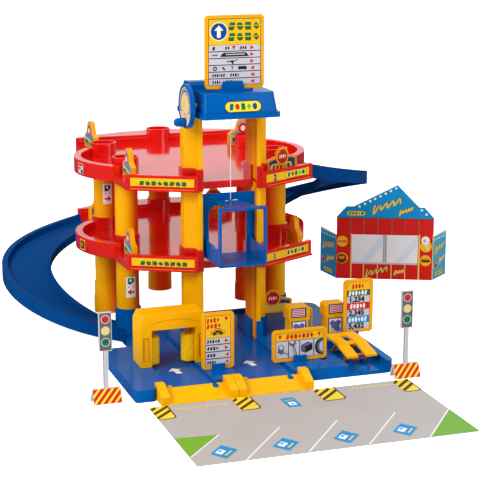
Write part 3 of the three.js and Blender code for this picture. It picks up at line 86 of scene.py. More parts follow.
world = bpy.data.worlds.new("studio")
world.use_nodes = True
scene.world = world
tree = world.node_tree
ambient = tree.nodes["Background"]
ambient.inputs["Color"].default_value = (1, 0.985, 0.97, 1)
ambient.inputs["Strength"].default_value = 0.42
white = tree.nodes.new("ShaderNodeBackground")
mirrored = tree.nodes.new("ShaderNodeBackground")
for backdrop in (white, mirrored):
    backdrop.inputs["Color"].default_value = (1, 1, 1, 1)
direction = tree.nodes.new("ShaderNodeTexCoord")
split = tree.nodes.new("ShaderNodeSeparateXYZ")
behind = tree.nodes.new("ShaderNodeMapRange")
behind.inputs["From Min"].default_value = -0.35
behind.inputs["From Max"].default_value = 0.45
behind.inputs["To Min"].default_value = 0.05
behind.inputs["To Max"].default_value = 0.9
tree.links.new(direction.outputs["Generated"], split.inputs[0])
tree.links.new(split.outputs["Y"], behind.inputs["Value"])
tree.links.new(behind.outputs["Result"], mirrored.inputs["Strength"])
surface = tree.nodes["World Output"].inputs["Surface"]
by_ray(tree, ambient.outputs[0], mirrored.outputs[0], white.outputs[0], surface)


def area_light(name, place, aim, size, power):
    data = bpy.data.lights.new(name, "AREA")
    data.size = size
    data.energy = power
    lamp = bpy.data.objects.new(name, data)
    lamp.location = place
    lamp.rotation_euler = (Vector(aim) - Vector(place)).to_track_quat("-Z", "Y").to_euler()
    scene.collection.objects.link(lamp)


middle = (0, 0.1, 0.15)
area_light("key_light", (-1.9, -1.3, 1.7), middle, 1.2, 50)
area_light("fill_light", (1.6, -1.9, 1.3), middle, 1.6, 21)
area_light("top_light", (0.1, 0.3, 2.2), middle, 1.8, 16)


def new_material(name):
    material = bpy.data.materials.new(name)
    material.use_nodes = True
    return material, material.node_tree, material.node_tree.nodes["Principled BSDF"]


floor_material, tree, shader = new_material("studio_floor")
shader.inputs["Base Color"].default_value = (0.9, 0.9, 0.9, 1)
shader.inputs["Roughness"].default_value = 0.9
glow = tree.nodes.new("ShaderNodeEmission")
glow.inputs["Strength"].default_value = 0.95
lit = tree.nodes.new("ShaderNodeAddShader")
dull = tree.nodes.new("ShaderNodeBsdfDiffuse")
dull.inputs["Color"].default_value = (0.12, 0.12, 0.12, 1)
tree.links.new(shader.outputs[0], lit.inputs[0])
tree.links.new(glow.outputs[0], lit.inputs[1])
surface = tree.nodes["Material Output"].inputs["Surface"]
by_ray(tree, shader.outputs[0], dull.outputs[0], lit.outputs[0], surface)
floor_reach = 6
floor_level = -0.0002
floor_corners = [(-1, -1), (1, -1), (1, 1), (-1, 1)]
floor_mesh = bpy.data.meshes.new("studio_floor")
floor_mesh.from_pydata(
    [(floor_reach * x, floor_reach * y, floor_level) for x, y in floor_corners], [], [(0, 1, 2, 3)],
)
floor_mesh.materials.append(floor_material)
floor = bpy.data.objects.new("studio_floor", floor_mesh)
scene.collection.objects.link(floor)


# Moulded plastic.
# One recipe for every colour: a faint cloudiness in the colour, a slightly uneven gloss
# and a very fine ripple of the mould in the bump. A painted red light tints the side that faces the decks'
# middle.
def plastic(name, colour, rough, cloud=0.05, sheen=0.4, through=0.0, glow=0.0, painted_deck_light=None, speck=14):
    material, tree, shader = new_material(name)
    place = tree.nodes.new("ShaderNodeTexCoord")
    noise = tree.nodes.new("ShaderNodeTexNoise")
    noise.inputs["Scale"].default_value = speck
    noise.inputs["Detail"].default_value = 4
    tone = tree.nodes.new("ShaderNodeValToRGB")
    tone.color_ramp.elements[0].position = 0.3
    tone.color_ramp.elements[1].position = 0.7
    tone.color_ramp.elements[0].color = tuple(c * (1 - cloud) for c in colour) + (1,)
    tone.color_ramp.elements[1].color = tuple(min(1, c * (1 + cloud)) for c in colour) + (1,)
    gloss = tree.nodes.new("ShaderNodeMapRange")
    gloss.inputs["To Min"].default_value = rough * 0.8
    gloss.inputs["To Max"].default_value = rough * 1.25
    grain = tree.nodes.new("ShaderNodeTexNoise")
    grain.inputs["Scale"].default_value = 260
    grain.inputs["Detail"].default_value = 2
    bump = tree.nodes.new("ShaderNodeBump")
    bump.inputs["Strength"].default_value = 0.025
    bump.inputs["Distance"].default_value = 0.001
    tree.links.new(place.outputs["Object"], noise.inputs["Vector"])
    tree.links.new(place.outputs["Object"], grain.inputs["Vector"])
    tree.links.new(noise.outputs["Fac"], tone.inputs["Fac"])
    tree.links.new(noise.outputs["Fac"], gloss.inputs["Value"])
    tree.links.new(grain.outputs["Fac"], bump.inputs["Height"])
    if painted_deck_light:
        # Painted light: a red tint that stands for light that comes through the red decks
        where = tree.nodes.new("ShaderNodeNewGeometry")
        inward = tree.nodes.new("ShaderNodeVectorMath")
        inward.operation = "SUBTRACT"
        inward.inputs[0].default_value = (0, 0.2, 0)
        level = tree.nodes.new("ShaderNodeVectorMath")
        level.operation = "MULTIPLY"
        level.inputs[1].default_value = (1, 0.15, 0)
        unit = tree.nodes.new("ShaderNodeVectorMath")
        unit.operation = "NORMALIZE"
        facing = tree.nodes.new("ShaderNodeVectorMath")
        facing.operation = "DOT_PRODUCT"
        share = tree.nodes.new("ShaderNodeMapRange")
        share.inputs["From Min"].default_value = -0.35
        share.inputs["From Max"].default_value = 0.8
        tint = tree.nodes.new("ShaderNodeMix")
        tint.data_type = "RGBA"
        tint.inputs[7].default_value = (*painted_deck_light, 1)
        tree.links.new(where.outputs["Position"], inward.inputs[1])
        tree.links.new(inward.outputs[0], level.inputs[0])
        tree.links.new(level.outputs[0], unit.inputs[0])
        tree.links.new(unit.outputs[0], facing.inputs[0])
        tree.links.new(where.outputs["Normal"], facing.inputs[1])
        tree.links.new(facing.outputs["Value"], share.inputs["Value"])
        tree.links.new(share.outputs["Result"], tint.inputs[0])
        tree.links.new(tone.outputs["Color"], tint.inputs[6])
        tree.links.new(tint.outputs[2], shader.inputs["Base Color"])
    else:
        tree.links.new(tone.outputs["Color"], shader.inputs["Base Color"])
    tree.links.new(gloss.outputs["Result"], shader.inputs["Roughness"])
    tree.links.new(bump.outputs["Normal"], shader.inputs["Normal"])
    shader.inputs["Specular IOR Level"].default_value = sheen
    shader.inputs["Subsurface Weight"].default_value = through
    # A glow makes the plastic give off light of its own colour: painted light, since no plastic here is a
    # lamp
    shader.inputs["Emission Color"].default_value = (*colour, 1)
    shader.inputs["Emission Strength"].default_value = glow
    shader.inputs["Subsurface Radius"].default_value = (1, 0.12, 0.05)
    shader.inputs["Subsurface Scale"].default_value = 0.014
    return material


blue = plastic("blue_plastic", (0.0, 0.1, 0.38), 0.14, sheen=0.06)
navy = plastic("ramp_blue_plastic", (0.0, 0.05, 0.21), 0.46, sheen=0.025)
# The red plastic's glow is painted light: it brightens the decks in shade and casts red light about them
red = plastic("red_plastic", (0.64, 0.008, 0.005), 0.09, sheen=0.9, through=1.0, glow=0.1)
yellow = plastic("yellow_plastic", (0.97, 0.45, 0.0), 0.3, sheen=0.1, through=0.12)
# The columns and rails carry painted red light on the sides that face the decks' middle
column_yellow = plastic(
    "column_yellow_plastic", (0.93, 0.42, 0.0), 0.28,
    sheen=0.12, through=0.12, painted_deck_light=(0.95, 0.08, 0.004),
)
rail_yellow = plastic(
    "rail_yellow_plastic", (0.95, 0.44, 0.0), 0.28,
    sheen=0.12, through=0.12, painted_deck_light=(0.95, 0.24, 0.0),
)
amber = plastic("amber_plastic", (0.9, 0.38, 0.0), 0.34, sheen=0.16)
orange = plastic("orange_plastic", (0.6, 0.13, 0.003), 0.4, sheen=0.3)
# The foam's glow is painted light that makes it look brighter, though it is no lamp
foam = plastic(
    "foam_plastic", (0.98, 0.54, 0.012), 0.9,
    cloud=0.32, sheen=0.05, through=0.2, glow=0.1, speck=700,
)


# Moulding edges.
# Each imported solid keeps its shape; its flat faces are merged and its edges get a small rounding.
def mould(name, material, rounding):
    piece = nodes[name]
    mesh = piece.data
    if "custom_normal" in mesh.attributes:
        mesh.attributes.remove(mesh.attributes["custom_normal"])
    mesh.shade_smooth()
    mesh.materials.clear()
    mesh.materials.append(material)
    weld = piece.modifiers.new("weld", "WELD")
    weld.merge_threshold = 0.00002
    merge = piece.modifiers.new("merge", "DECIMATE")
    merge.decimate_type = "DISSOLVE"
    merge.angle_limit = math.radians(1)
    edge = piece.modifiers.new("edge", "BEVEL")
    edge.width = rounding / 1000
    edge.segments = 2
    edge.limit_method = "ANGLE"
    edge.angle_limit = math.radians(28)
    edge.harden_normals = True


# Plastic, rounding in millimetres and how the names of the pieces begin
coats = [
    (column_yellow, 0.5, ("column_",)),
    (rail_yellow, 0.5, ("lift_rail_",)),
    (yellow, 0.5, ("entry_ramp_",)),
    (red, 0.7, ("upper_deck", "lower_deck")),
    (blue, 0.7, ("base_plate", "lift_head", "crank_", "lift_cabin")),
    (navy, 0.5, ("ramp_",)),
    (yellow, 0.6, ("winch_drum", "wash_arch", "pump_", "hoist_platform")),
    (amber, 0.6, ("roof_sign", "wash_sign", "service_sign", "price_sign")),
    (orange, 0.3, ("hoist_legs_", "wash_roller_core_")),
    (foam, 0.8, ("wash_roller_foam_",)),
    (amber, 0.5, ("board_", "stop_board_")),
]
for material, rounding, starts in coats:
    for name in nodes:
        if name.startswith(starts):
            mould(name, material, rounding)


# Printing.
# A sticker is a stack of flat shapes in millimetres on a board's face, each a hair above what it covers.
# Shapes are given as (ink, outline); x runs to the right and y up on the face.
def ink(name, colour, rough=0.4):
    return plastic("ink_" + name, colour, rough, cloud=0.03, sheen=0.2)


inks = {
    "yellow": ink("yellow", (0.9, 0.5, 0.003)),
    "lemon": ink("lemon", (0.86, 0.68, 0.04)),
    "gold": ink("gold", (0.82, 0.6, 0.12)),
    "white": ink("white", (0.86, 0.86, 0.87)),
    "grey": ink("grey", (0.58, 0.56, 0.6)),
    "mist": ink("mist", (0.5, 0.56, 0.66)),
    "glass": ink("glass", (0.86, 0.85, 0.88), 0.25),
    "glint": ink("glint", (0.7, 0.78, 0.88), 0.25),
    "shade": ink("shade", (0.12, 0.12, 0.125)),
    "black": ink("black", (0.012, 0.012, 0.016)),
    "red": ink("red", (0.62, 0.012, 0.008)),
    "ledge_highlight": ink("ledge_highlight", (0.75, 0.1, 0.08), 0.2),
    "brick": ink("brick", (0.7, 0.008, 0.005)),
    "green": ink("green", (0.0, 0.16, 0.05)),
    "leaf": ink("leaf", (0.16, 0.4, 0.03)),
    "teal": ink("teal", (0.0, 0.12, 0.16)),
    "blue": ink("blue", (0.003, 0.06, 0.26)),
    "sky": ink("sky", (0.0, 0.27, 0.6)),
    "pale_sky": ink("pale_sky", (0.05, 0.36, 0.58)),
    "navy": ink("navy", (0.008, 0.02, 0.12)),
    "violet": ink("violet", (0.13, 0.13, 0.4)),
    "cream": ink("cream", (0.85, 0.62, 0.34)),
    "brown": ink("brown", (0.09, 0.03, 0.004)),
    "seam": ink("seam", (0.22, 0.12, 0.08)),
    "orange": ink("orange", (0.82, 0.22, 0.01)),
    "pink": ink("pink", (0.7, 0.3, 0.4)),
    "tarmac": ink("tarmac", (0.47, 0.44, 0.425)),
    "recess_shade": ink("recess_shade", (0.42, 0.15, 0.002)),
    "board": ink("board", (0.6, 0.58, 0.54), 0.7),
}


def rect(x0, y0, x1, y1):
    return [(x0, y0), (x1, y0), (x1, y1), (x0, y1)]


def disc(x, y, radius, high=None, steps=28):
    tall = radius if high is None else high
    turn = 2 * math.pi / steps
    return [(x + radius * math.cos(i * turn), y + tall * math.sin(i * turn)) for i in range(steps)]


def eight(x, y, radius):
    turns = [math.radians(22.5 + 45 * i) for i in range(8)]
    return [(x + radius * math.cos(t), y + radius * math.sin(t)) for t in turns]


def lozenge(x, y, wide, high):
    # A bar with half-round ends about the point x, y
    r = high / 2
    run = wide / 2 - r
    ends = [(run, -90), (-run, 90)]
    turns = [(side, math.radians(start + step)) for side, start in ends for step in range(0, 181, 20)]
    return [(x + side + r * math.cos(turn), y + r * math.sin(turn)) for side, turn in turns]


def trimmed(outline, left, far):
    # The part of an outline between two upright lines
    for edge, sense in ((left, 1), (far, -1)):
        kept = []
        for (x0, y0), (x1, y1) in zip(outline, outline[1:] + outline[:1]):
            if sense * (x0 - edge) >= 0:
                kept.append((x0, y0))
            if (x0 - edge) * (x1 - edge) < 0:
                kept.append((edge, y0 + (y1 - y0) * (edge - x0) / (x1 - x0)))
        outline = kept
    return outline


def stamp(outline, x, y, size, turn=0):
    # A unit outline, one wide, set down with its middle at x, y
    c, s = math.cos(math.radians(turn)), math.sin(math.radians(turn))
    return [(x + size * (c * a - s * b), y + size * (s * a + c * b)) for a, b in outline]


def arrow_head(x, y, size, way):
    turn = {"right": 0, "up": 90, "left": 180, "down": 270}[way]
    return stamp([(-0.5, -0.5), (0.5, 0), (-0.5, 0.5)], x, y, size, turn)


# Unit outlines of the small pictures, one wide about their middle
car_shape = [
    (-0.5, -0.1), (-0.48, 0.06), (-0.28, 0.1), (-0.14, 0.25), (0.16, 0.25), (0.3, 0.1), (0.49, 0.05),
    (0.5, -0.1), (0.4, -0.12), (0.36, -0.2), (0.24, -0.2), (0.2, -0.12), (-0.2, -0.12), (-0.24, -0.2),
    (-0.36, -0.2), (-0.4, -0.12),
]
bus_shape = [
    (-0.5, -0.14), (-0.5, 0.2), (0.46, 0.2), (0.5, 0.0), (0.5, -0.14), (0.38, -0.14), (0.34, -0.2),
    (0.26, -0.2), (0.22, -0.14), (-0.22, -0.14), (-0.26, -0.2), (-0.34, -0.2), (-0.38, -0.14),
]
train_shape = [(-0.5, -0.06), (-0.44, 0.02), (-0.38, 0.07), (0.38, 0.07), (0.44, 0.02), (0.5, -0.06)]
plane_shape = [
    (-0.5, 0.02), (-0.36, 0.0), (-0.12, 0.0), (0.06, -0.2), (0.13, -0.18), (0.1, 0.02), (0.5, 0.16),
    (0.48, 0.21), (0.12, 0.12), (-0.1, 0.14), (-0.16, 0.1), (-0.32, 0.06), (-0.44, 0.14),
]
cup_shape = [
    (-0.3, 0.4), (0.3, 0.4), (0.05, 0.0), (0.05, -0.3), (0.2, -0.4), (-0.2, -0.4), (-0.05, -0.3),
    (-0.05, 0.0),
]
up_shape = [
    (-0.16, -0.5), (0.16, -0.5), (0.16, 0.08), (0.4, 0.08), (0, 0.5), (-0.4, 0.08), (-0.16, 0.08),
]
# Leaning block, disc, block, diamond and eight-sided block
mark_shapes = [
    [(-0.48, -0.5), (0.24, -0.5), (0.48, 0.5), (-0.24, 0.5)],
    disc(0, 0, 0.44, 0.5, 12),
    rect(-0.4, -0.5, 0.4, 0.5),
    [(0, -0.5), (0.46, 0), (0, 0.5), (-0.46, 0)],
    [
        (-0.44, -0.2), (-0.2, -0.5), (0.2, -0.5), (0.44, -0.2), (0.44, 0.2), (0.2, 0.5), (-0.2, 0.5),
        (-0.44, 0.2),
    ],
]


def marks(colours, x, y, wide, high, count, slope=0.0):
    # A row of plain block marks about the point x, y, which climbs by the slope
    pitch = wide / count
    shapes = []
    for index in range(count):
        centre = x - wide / 2 + pitch * (index + 0.5)
        level = y + slope * (centre - x)
        outline = mark_shapes[index % len(mark_shapes)]
        shape = [(centre + a * pitch * 0.86, level + b * high + a * pitch * slope) for a, b in outline]
        shapes.append((colours[index % len(colours)], shape))
    return shapes


def scribble(x0, y0, x1, y1, high, weight):
    # A gold wavy line on a dark trace, laid in short strokes
    steps = 90
    stroke_steps = 10
    line = []
    for step in range(steps + 1):
        share = step / steps
        tall = high * (1 if share < 0.2 else 0.56)
        swing = math.cos(9 * math.pi * share) * tall / 2
        line.append(Vector((x0 + (x1 - x0) * share + 0.4 * swing, y0 + (y1 - y0) * share + swing)))
    shapes = []
    for colour, broad in (("brown", weight + 1.2), ("gold", weight)):
        for first in range(0, steps, stroke_steps):
            left, far = [], []
            stroke = line[first:first + stroke_steps + 1]
            for here, there in zip(stroke, stroke[1:]):
                side = (there - here).orthogonal().normalized() * broad / 2
                left += [tuple(here + side), tuple(there + side)]
                far += [tuple(here - side), tuple(there - side)]
            shapes.append((colour, left + far[::-1]))
    return shapes


def badge(x, y, wide, high):
    # A rimmed bar with a row of coloured marks
    row = marks(["teal", "red", "green", "leaf", "blue"], x, y, wide - high * 0.7, high * 0.56, 5)
    return [
        ("brown", lozenge(x, y, wide, high)),
        ("lemon", lozenge(x, y, wide - high * 0.12, high * 0.88)),
    ] + row


def printed(name, body, points, faces, colours, smooth=False):
    # One mesh of printed faces, each in its own ink, that rides on a body
    used = list(dict.fromkeys(colours))
    mesh = bpy.data.meshes.new(name)
    mesh.from_pydata(points, [], faces)
    for colour in used:
        mesh.materials.append(inks[colour])
    for face, colour in zip(mesh.polygons, colours):
        face.material_index = used.index(colour)
        face.use_smooth = smooth
    mesh.update()
    piece = bpy.data.objects.new(name, mesh)
    scene.collection.objects.link(piece)
    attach(piece, body)


def sticker(name, body, corner, right, up, shapes, lift=0.12, step=0.05):
    across = Vector(right).normalized()
    upward = Vector(up).normalized()
    out = across.cross(upward)
    start = Vector(corner)
    points, faces, laid = [], [], []
    for _, outline in shapes:
        # A shape lies one step above the highest one that it can cover
        left, bottom = (min(place[axis] for place in outline) for axis in (0, 1))
        far, top = (max(place[axis] for place in outline) for axis in (0, 1))
        under = [n for a, b, c, d, n in laid if a < far and left < c and b < top and bottom < d]
        level = max(under, default=-1) + 1
        laid.append((left, bottom, far, top, level))
        first = len(points)
        height = (lift + step * level) / 1000
        for x, y in outline:
            points.append(start + across * x / 1000 + upward * y / 1000 + out * height)
        faces.append(list(range(first, len(points))))
    printed(name, body, points, faces, [colour for colour, _ in shapes])


def number(name, body, words, corner, right, up, size, colour):
    # Plain figures, as on a price board, that stand clear of the printing below them
    lift = 0.0006
    curve = bpy.data.curves.new(name, "FONT")
    curve.body = words
    curve.size = size / 1000
    curve.offset = size * 0.035 / 1000
    curve.materials.append(inks[colour])
    piece = bpy.data.objects.new(name, curve)
    across = Vector(right).normalized()
    upward = Vector(up).normalized()
    out = across.cross(upward)
    turn = Matrix((across, upward, out)).transposed().to_4x4()
    piece.matrix_world = Matrix.Translation(Vector(corner) + out * lift) @ turn
    scene.collection.objects.link(piece)
    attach(piece, body)


def ahead(turn):
    # The way to the right on a face that is turned about the vertical
    return Vector((math.cos(math.radians(turn)), math.sin(math.radians(turn)), 0))


right = (1, 0, 0)
up = (0, 0, 1)


def board_face(node):
    # Lower left corner and size of the sunk field on the street side of an upright board
    low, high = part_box(node)
    frame_edge = 0.0045
    deep = 0.0008
    corner = (low[0] + frame_edge, low[1] + deep, low[2] + frame_edge)
    wide, high = ((high[axis] - low[axis] - 2 * frame_edge) * 1000 for axis in (0, 2))
    return corner, wide, high


# Roof sign.
# A yellow head field with a round blue parking disc and two rows of green marks, over six grey rows
# that are parted by blue lines and end in red arrowheads.
corner, wide, high = board_face("roof_sign")
head = high * 0.39
row = (high - head) / 6
rim = 0.8
disc_x = 14.5
disc_y = high - 16.5
shapes = [
    ("navy", rect(0, 0, wide, high)),
    ("yellow", rect(rim, high - head, wide - rim, high - rim)),
    ("white", disc(disc_x, disc_y, 12.2)),
    ("blue", disc(disc_x, disc_y, 11)),
    ("white", stamp(up_shape, disc_x, disc_y, 16)),
]
for level in (high - 9.5, high - 23.5):
    shapes += marks(["brown"], 49.4, level - 1.2, 45, 9, 4)
    shapes += marks(["green"], 48.8, level, 45, 9, 4)
    shapes.append(("yellow", rect(27, level - 0.7, 72, level + 0.4)))
for index in range(6):
    low = row * index
    shapes.append(("grey", rect(rim, low + rim, wide - rim, low + row - rim / 2)))
    way = "right" if index > 2 else "left"
    shapes.append(("red", arrow_head(wide - 12, low + row / 2, 5.4, way)))
shapes += marks(["black"], 7.5, row * 5.5, 5, 4.6, 1)
shapes += marks(["black"], 26, row * 5.5, 7, 4.2, 2)
shapes.append(("red", arrow_head(35, row * 5.5, 5.6, "down")))
shapes += marks(["black"], 48, row * 5.5, 10, 4, 3)
shapes += [
    ("black", stamp(train_shape, 36, row * 4.5, 40)),
    ("grey", rect(24, row * 4.5 - 0.2, 50, row * 4.5 + 1.2)),
    ("violet", rect(5, row * 4.5 - 1, 13, row * 4.5 + 1)),
    ("black", stamp(plane_shape, 33, row * 3.5 - 0.6, 16)),
    ("black", disc(9, row * 2.5, 3, steps=16)),
    ("grey", disc(9, row * 2.5, 1.5, steps=16)),
    ("black", stamp(up_shape, 21, row * 2.5, 5.8, 40)),
    ("black", stamp(cup_shape, 33, row * 2.5, 6)),
    ("black", stamp(bus_shape, 47, row * 2.5, 12)),
]
for level, split in ((1.5, 18), (0.5, 12)):
    shapes += marks(["black"], 5 + split / 2, row * level, split, 4.2, round(split / 3))
    shapes += marks(["black"], 11 + split + 7, row * level, 13, 4.2, 4)
sticker("roof_sign_print", "garage", corner, right, up, shapes)


# Wash sign.
# Yellow head with two red rows, an arrowhead and a car under a spray, over four grey rows.
corner, wide, high = board_face("wash_sign")
head = high * 0.44
row = (high - head) / 4
shapes = [
    ("navy", rect(0, 0, wide, high)),
    ("yellow", rect(0.6, high - head, wide - 0.6, high - 0.6)),
    ("red", arrow_head(wide - 6, high - 5.5, 5.6, "down")),
]
shapes += marks(["red"], 10.5, high - 6, 18, 6, 4, 0.06)
shapes += marks(["red"], 11.5, high - 13.6, 20, 6, 4, 0.06)
car_x = 17
road = high - head
shapes += [
    ("brown", stamp(car_shape, car_x, road + 6, 15)),
    ("brown", disc(car_x, road + 8.6, 5.6, 4.2, 16)),
    ("yellow", disc(car_x, road + 8.6, 4.7, 3.3, 16)),
    ("brown", stamp(car_shape, car_x, road + 7.6, 11)),
]
for side in (-1, 1):
    for line in range(3):
        x = car_x + side * (7.4 + line * 1.3)
        shapes.append(("shade", rect(x - 0.2, road + 4, x + 0.2, road + 10)))
for index in range(4):
    low = row * index
    shapes.append(("grey", rect(0.6, low + 0.8, wide - 0.6, low + row - 0.5)))
    way = "right" if index > 1 else "left"
    shapes.append(("red", arrow_head(wide - 5.4, low + row / 2, 5.2, way)))
for index, long, count in ((3, 18, 5), (2, 16, 4), (1, 12, 3), (0, 13, 4)):
    shapes += marks(["black"], 2 + long / 2, row * (index + 0.5), long, 4.6, count)
sticker("wash_sign_print", "garage", corner, right, up, shapes)


# Service sign.
# Yellow head with a red row between two arrowheads, over four pictures: oil can, spanner, battery
# and tyre.
corner, wide, high = board_face("service_sign")
head = high * 0.3
cells = [0, 18, 33.6, 53.5, wide]
shapes = [
    ("navy", rect(0, 0, wide, high)),
    ("yellow", rect(0.5, high - head, wide - 0.5, high - 0.5)),
    ("red", arrow_head(6, high - head / 2, 5.6, "down")),
    ("red", arrow_head(wide - 6, high - head / 2, 5.6, "down")),
]
shapes += marks(["red"], wide / 2, high - head / 2, 39, 6.4, 7)
for first, last in zip(cells, cells[1:]):
    shapes.append(("grey", rect(first + 0.6, 0.6, last - 0.6, high - head - 0.8)))
y = (high - head) / 2
spanner = [
    (-0.09, -0.5), (0.09, -0.5), (0.09, 0.2), (0.22, 0.32), (0.22, 0.5), (0.1, 0.5), (0.1, 0.36),
    (-0.1, 0.36), (-0.1, 0.5), (-0.22, 0.5), (-0.22, 0.32), (-0.09, 0.2),
]
shapes += [
    ("shade", disc(7.4, y + 2.4, 4.4, 4.8, 20)),
    ("grey", disc(7.4, y + 3, 2.8, 3.2, 20)),
    ("shade", stamp(rect(-0.5, -0.36, 0.5, 0.36), 7, y - 2.4, 8, -28)),
    ("shade", stamp(rect(-0.5, -0.08, 0.5, 0.08), 13.4, y - 5, 8, -24)),
    ("shade", stamp(spanner, 25.8, y, 21, 15)),
    ("mist", stamp(rect(-0.03, -0.4, 0.03, 0.16), 25.8, y, 21, 15)),
    ("black", [(35.6, y - 4), (42, y - 7), (51.6, y - 3), (51.6, y + 5.5), (45, y + 8), (35.6, y + 4)]),
    ("shade", [(36.2, y - 3.2), (41.8, y - 5.8), (41.8, y + 1.4), (36.2, y + 3)]),
    ("violet", [(36.6, y + 3.8), (42, y + 2), (50.6, y + 5.2), (45, y + 7.2)]),
    ("black", trimmed(disc(64, y, 9, 11), 0, wide - 0.6)),
    ("shade", trimmed(disc(65, y, 7, 9.4), 0, wide - 0.6)),
    ("mist", trimmed(disc(66.6, y, 5.4, 7.4), 0, wide - 0.6)),
]
sticker("service_sign_print", "garage", corner, right, up, shapes)


# Price sign.
# Seven bands: block marks on the coloured ones and plain counting figures on the grey ones.
corner, wide, high = board_face("price_sign")
levels = [0, 9.3, 18.8, 28.3, 38.1, 47.8, 56.1, high]
bands = [
    ("grey", None, 0), ("sky", "white", 6), ("grey", None, 0), ("red", "white", 5), ("grey", None, 0),
    ("green", "white", 6), ("yellow", "red", 4),
]
shapes = [("navy", rect(0, 0, wide, high))]
for (colour, mark_ink, count), low, top in zip(bands, levels, levels[1:]):
    shapes.append((colour, rect(0.5, low + 0.1, wide - 0.5, top - 0.1)))
    if mark_ink:
        shapes += marks([mark_ink], wide / 2 - 1, (low + top) / 2, count * 4.7, 6.4, count)
sticker("price_sign_print", "garage", corner, right, up, shapes)
for index, words in ((0, "5,432"), (2, "2,345"), (4, "1,234")):
    place = Vector(corner) + Vector((0.003, 0, (levels[index] + 1.6) / 1000))
    number("price_%d" % index, "garage", words, place, right, up, 10.4, "black")


# Lift head badge and crank face.
# The plate on the sloping front is a rimmed bar with marks; the disc has a cream face with five
# coloured arcs round a gold disc and a pink spot.
slope = Vector((0, 0.008, 0.025))
plate = Vector((0.005, -0.0366, 0.3445))
sticker("head_badge", "garage", plate, right, slope, badge(0, 0, 50.5, 15), lift=0.35)
low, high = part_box("crank_disc")
face = (low[0] + 0.0012, (low[1] + high[1]) / 2, (low[2] + high[2]) / 2)
shapes = [("cream", disc(0, 0, 25.8, steps=40))]
turns = [math.radians(degrees) for degrees in range(-20, 201, 10)]
for radius, colour in (
    (24.5, "leaf"), (23.4, "mist"), (22, "violet"), (18.6, "cream"), (16.8, "pink"), (15.6, "lemon"),
    (13.6, "cream"),
):
    shapes.append((colour, [(radius * math.cos(turn), radius * math.sin(turn)) for turn in turns]))
shapes.append(("cream", disc(0, -8, 12, 9)))
shapes.append(("pink", disc(-3, -10, 3, 2)))
shapes.append(("gold", disc(-4, 2, 6)))
sticker("crank_face", "winch", face, (0, -1, 0), up, shapes)


# Deck labels.
# Four long stickers on the sloping front panels: a row of green marks on the left, the deck's number
# and a badge on the right; a thin orange strip of painted highlight, for the lip's lit edge, runs below
# each.
label_long = 86.8
label_high = 11
inner = Vector((46.5, -2.4, 0)) / 1000
outer = Vector((133.3, 42.7, 0)) / 1000
length = (outer - inner).length * 1000
for deck, storey in (("lower", 1), ("upper", 2)):
    foot_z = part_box(deck + "_deck")[0][2] + 0.0064
    for hand in (-1, 1):
        run = Vector(((outer.x - inner.x), hand * (outer.y - inner.y), 0)).normalized()
        start = Vector((hand * (inner.x if hand > 0 else outer.x), inner.y if hand > 0 else outer.y, 0))
        normal = run.cross(Vector(up))
        begin = start + run * (length - label_long) / 2000 + Vector((0, 0, foot_z)) - normal * 0.0009
        shapes = [("yellow", rect(0, 0, label_long, label_high))]
        if hand < 0:
            shapes += marks(["brown"], 44.6, 3.4, 66, 5.4, 8)
            shapes += marks(["green"], 44, 4.4, 66, 5.4, 8)
            shapes.append(("yellow", rect(8, 0.1, 80, 1.2)))
        else:
            shapes += badge(60, 5.5, 44, 10.6)
        side = "left" if hand < 0 else "right"
        sticker("%s_label_%s" % (deck, side), "garage", begin, run, up, shapes)
        # A thin orange strip of painted highlight, for the lit edge of the lip below the label
        edge = begin + normal * 0.0028 + Vector((0, 0, -0.0037))
        shapes = [("orange", rect(0, 0, label_long, 0.9))]
        sticker("%s_edge_%s" % (deck, side), "garage", edge, run, up, shapes)
        if hand > 0:
            place = begin + run * 0.014 + Vector((0, 0, 0.0012))
            number("%s_number" % deck, "garage", str(storey), place, run, up, 12, "blue")


# Deck ledges.
# A thin red-pink strip of painted highlight runs along the block at the back of each deck, where its ledge
# catches the light.
ledge_half = 128
ledge_y = 0.352
for deck in ("lower", "upper"):
    ledge = (-ledge_half / 1000, ledge_y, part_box(deck + "_deck")[0][2] + 0.0165)
    # The strip is painted highlight on the ledge's lit edge
    shapes = [("ledge_highlight", rect(0, 0, ledge_half * 2, 0.7))]
    sticker(deck + "_ledge_highlight", "garage", ledge, right, up, shapes, lift=0.08)


# Wrapped decals.
# White labels with an arrow round two of the left columns, and a small sticker on each left bay wall.
def wrapped(name, x, y, radius, z_low, z_high, face_turn, patches):
    # Each patch is (ink, left and right in mm round the curve, low and high share, taper -1, 0 or 1)
    points, faces, colours = [], [], []
    steps = 8
    for level, (colour, start, end, bottom, top, taper) in enumerate(patches):
        first = len(points)
        reach = radius + 0.12 + 0.06 * level
        for step in range(steps + 1):
            share = step / steps
            angle = math.radians(face_turn) + (start + (end - start) * share) / radius
            shrink = 1 if taper == 0 else (1 - share if taper > 0 else share)
            middle = (bottom + top) / 2
            for side in (-0.5, 0.5):
                height = z_low + (z_high - z_low) * (middle + side * (top - bottom) * shrink)
                place = Vector((x + reach * math.sin(angle), y - reach * math.cos(angle), height))
                points.append(place / 1000)
        for step in range(steps):
            corner = first + 2 * step
            faces.append((corner, corner + 2, corner + 3, corner + 1))
            colours.append(colour)
    printed(name, "garage", points, faces, colours, smooth=True)


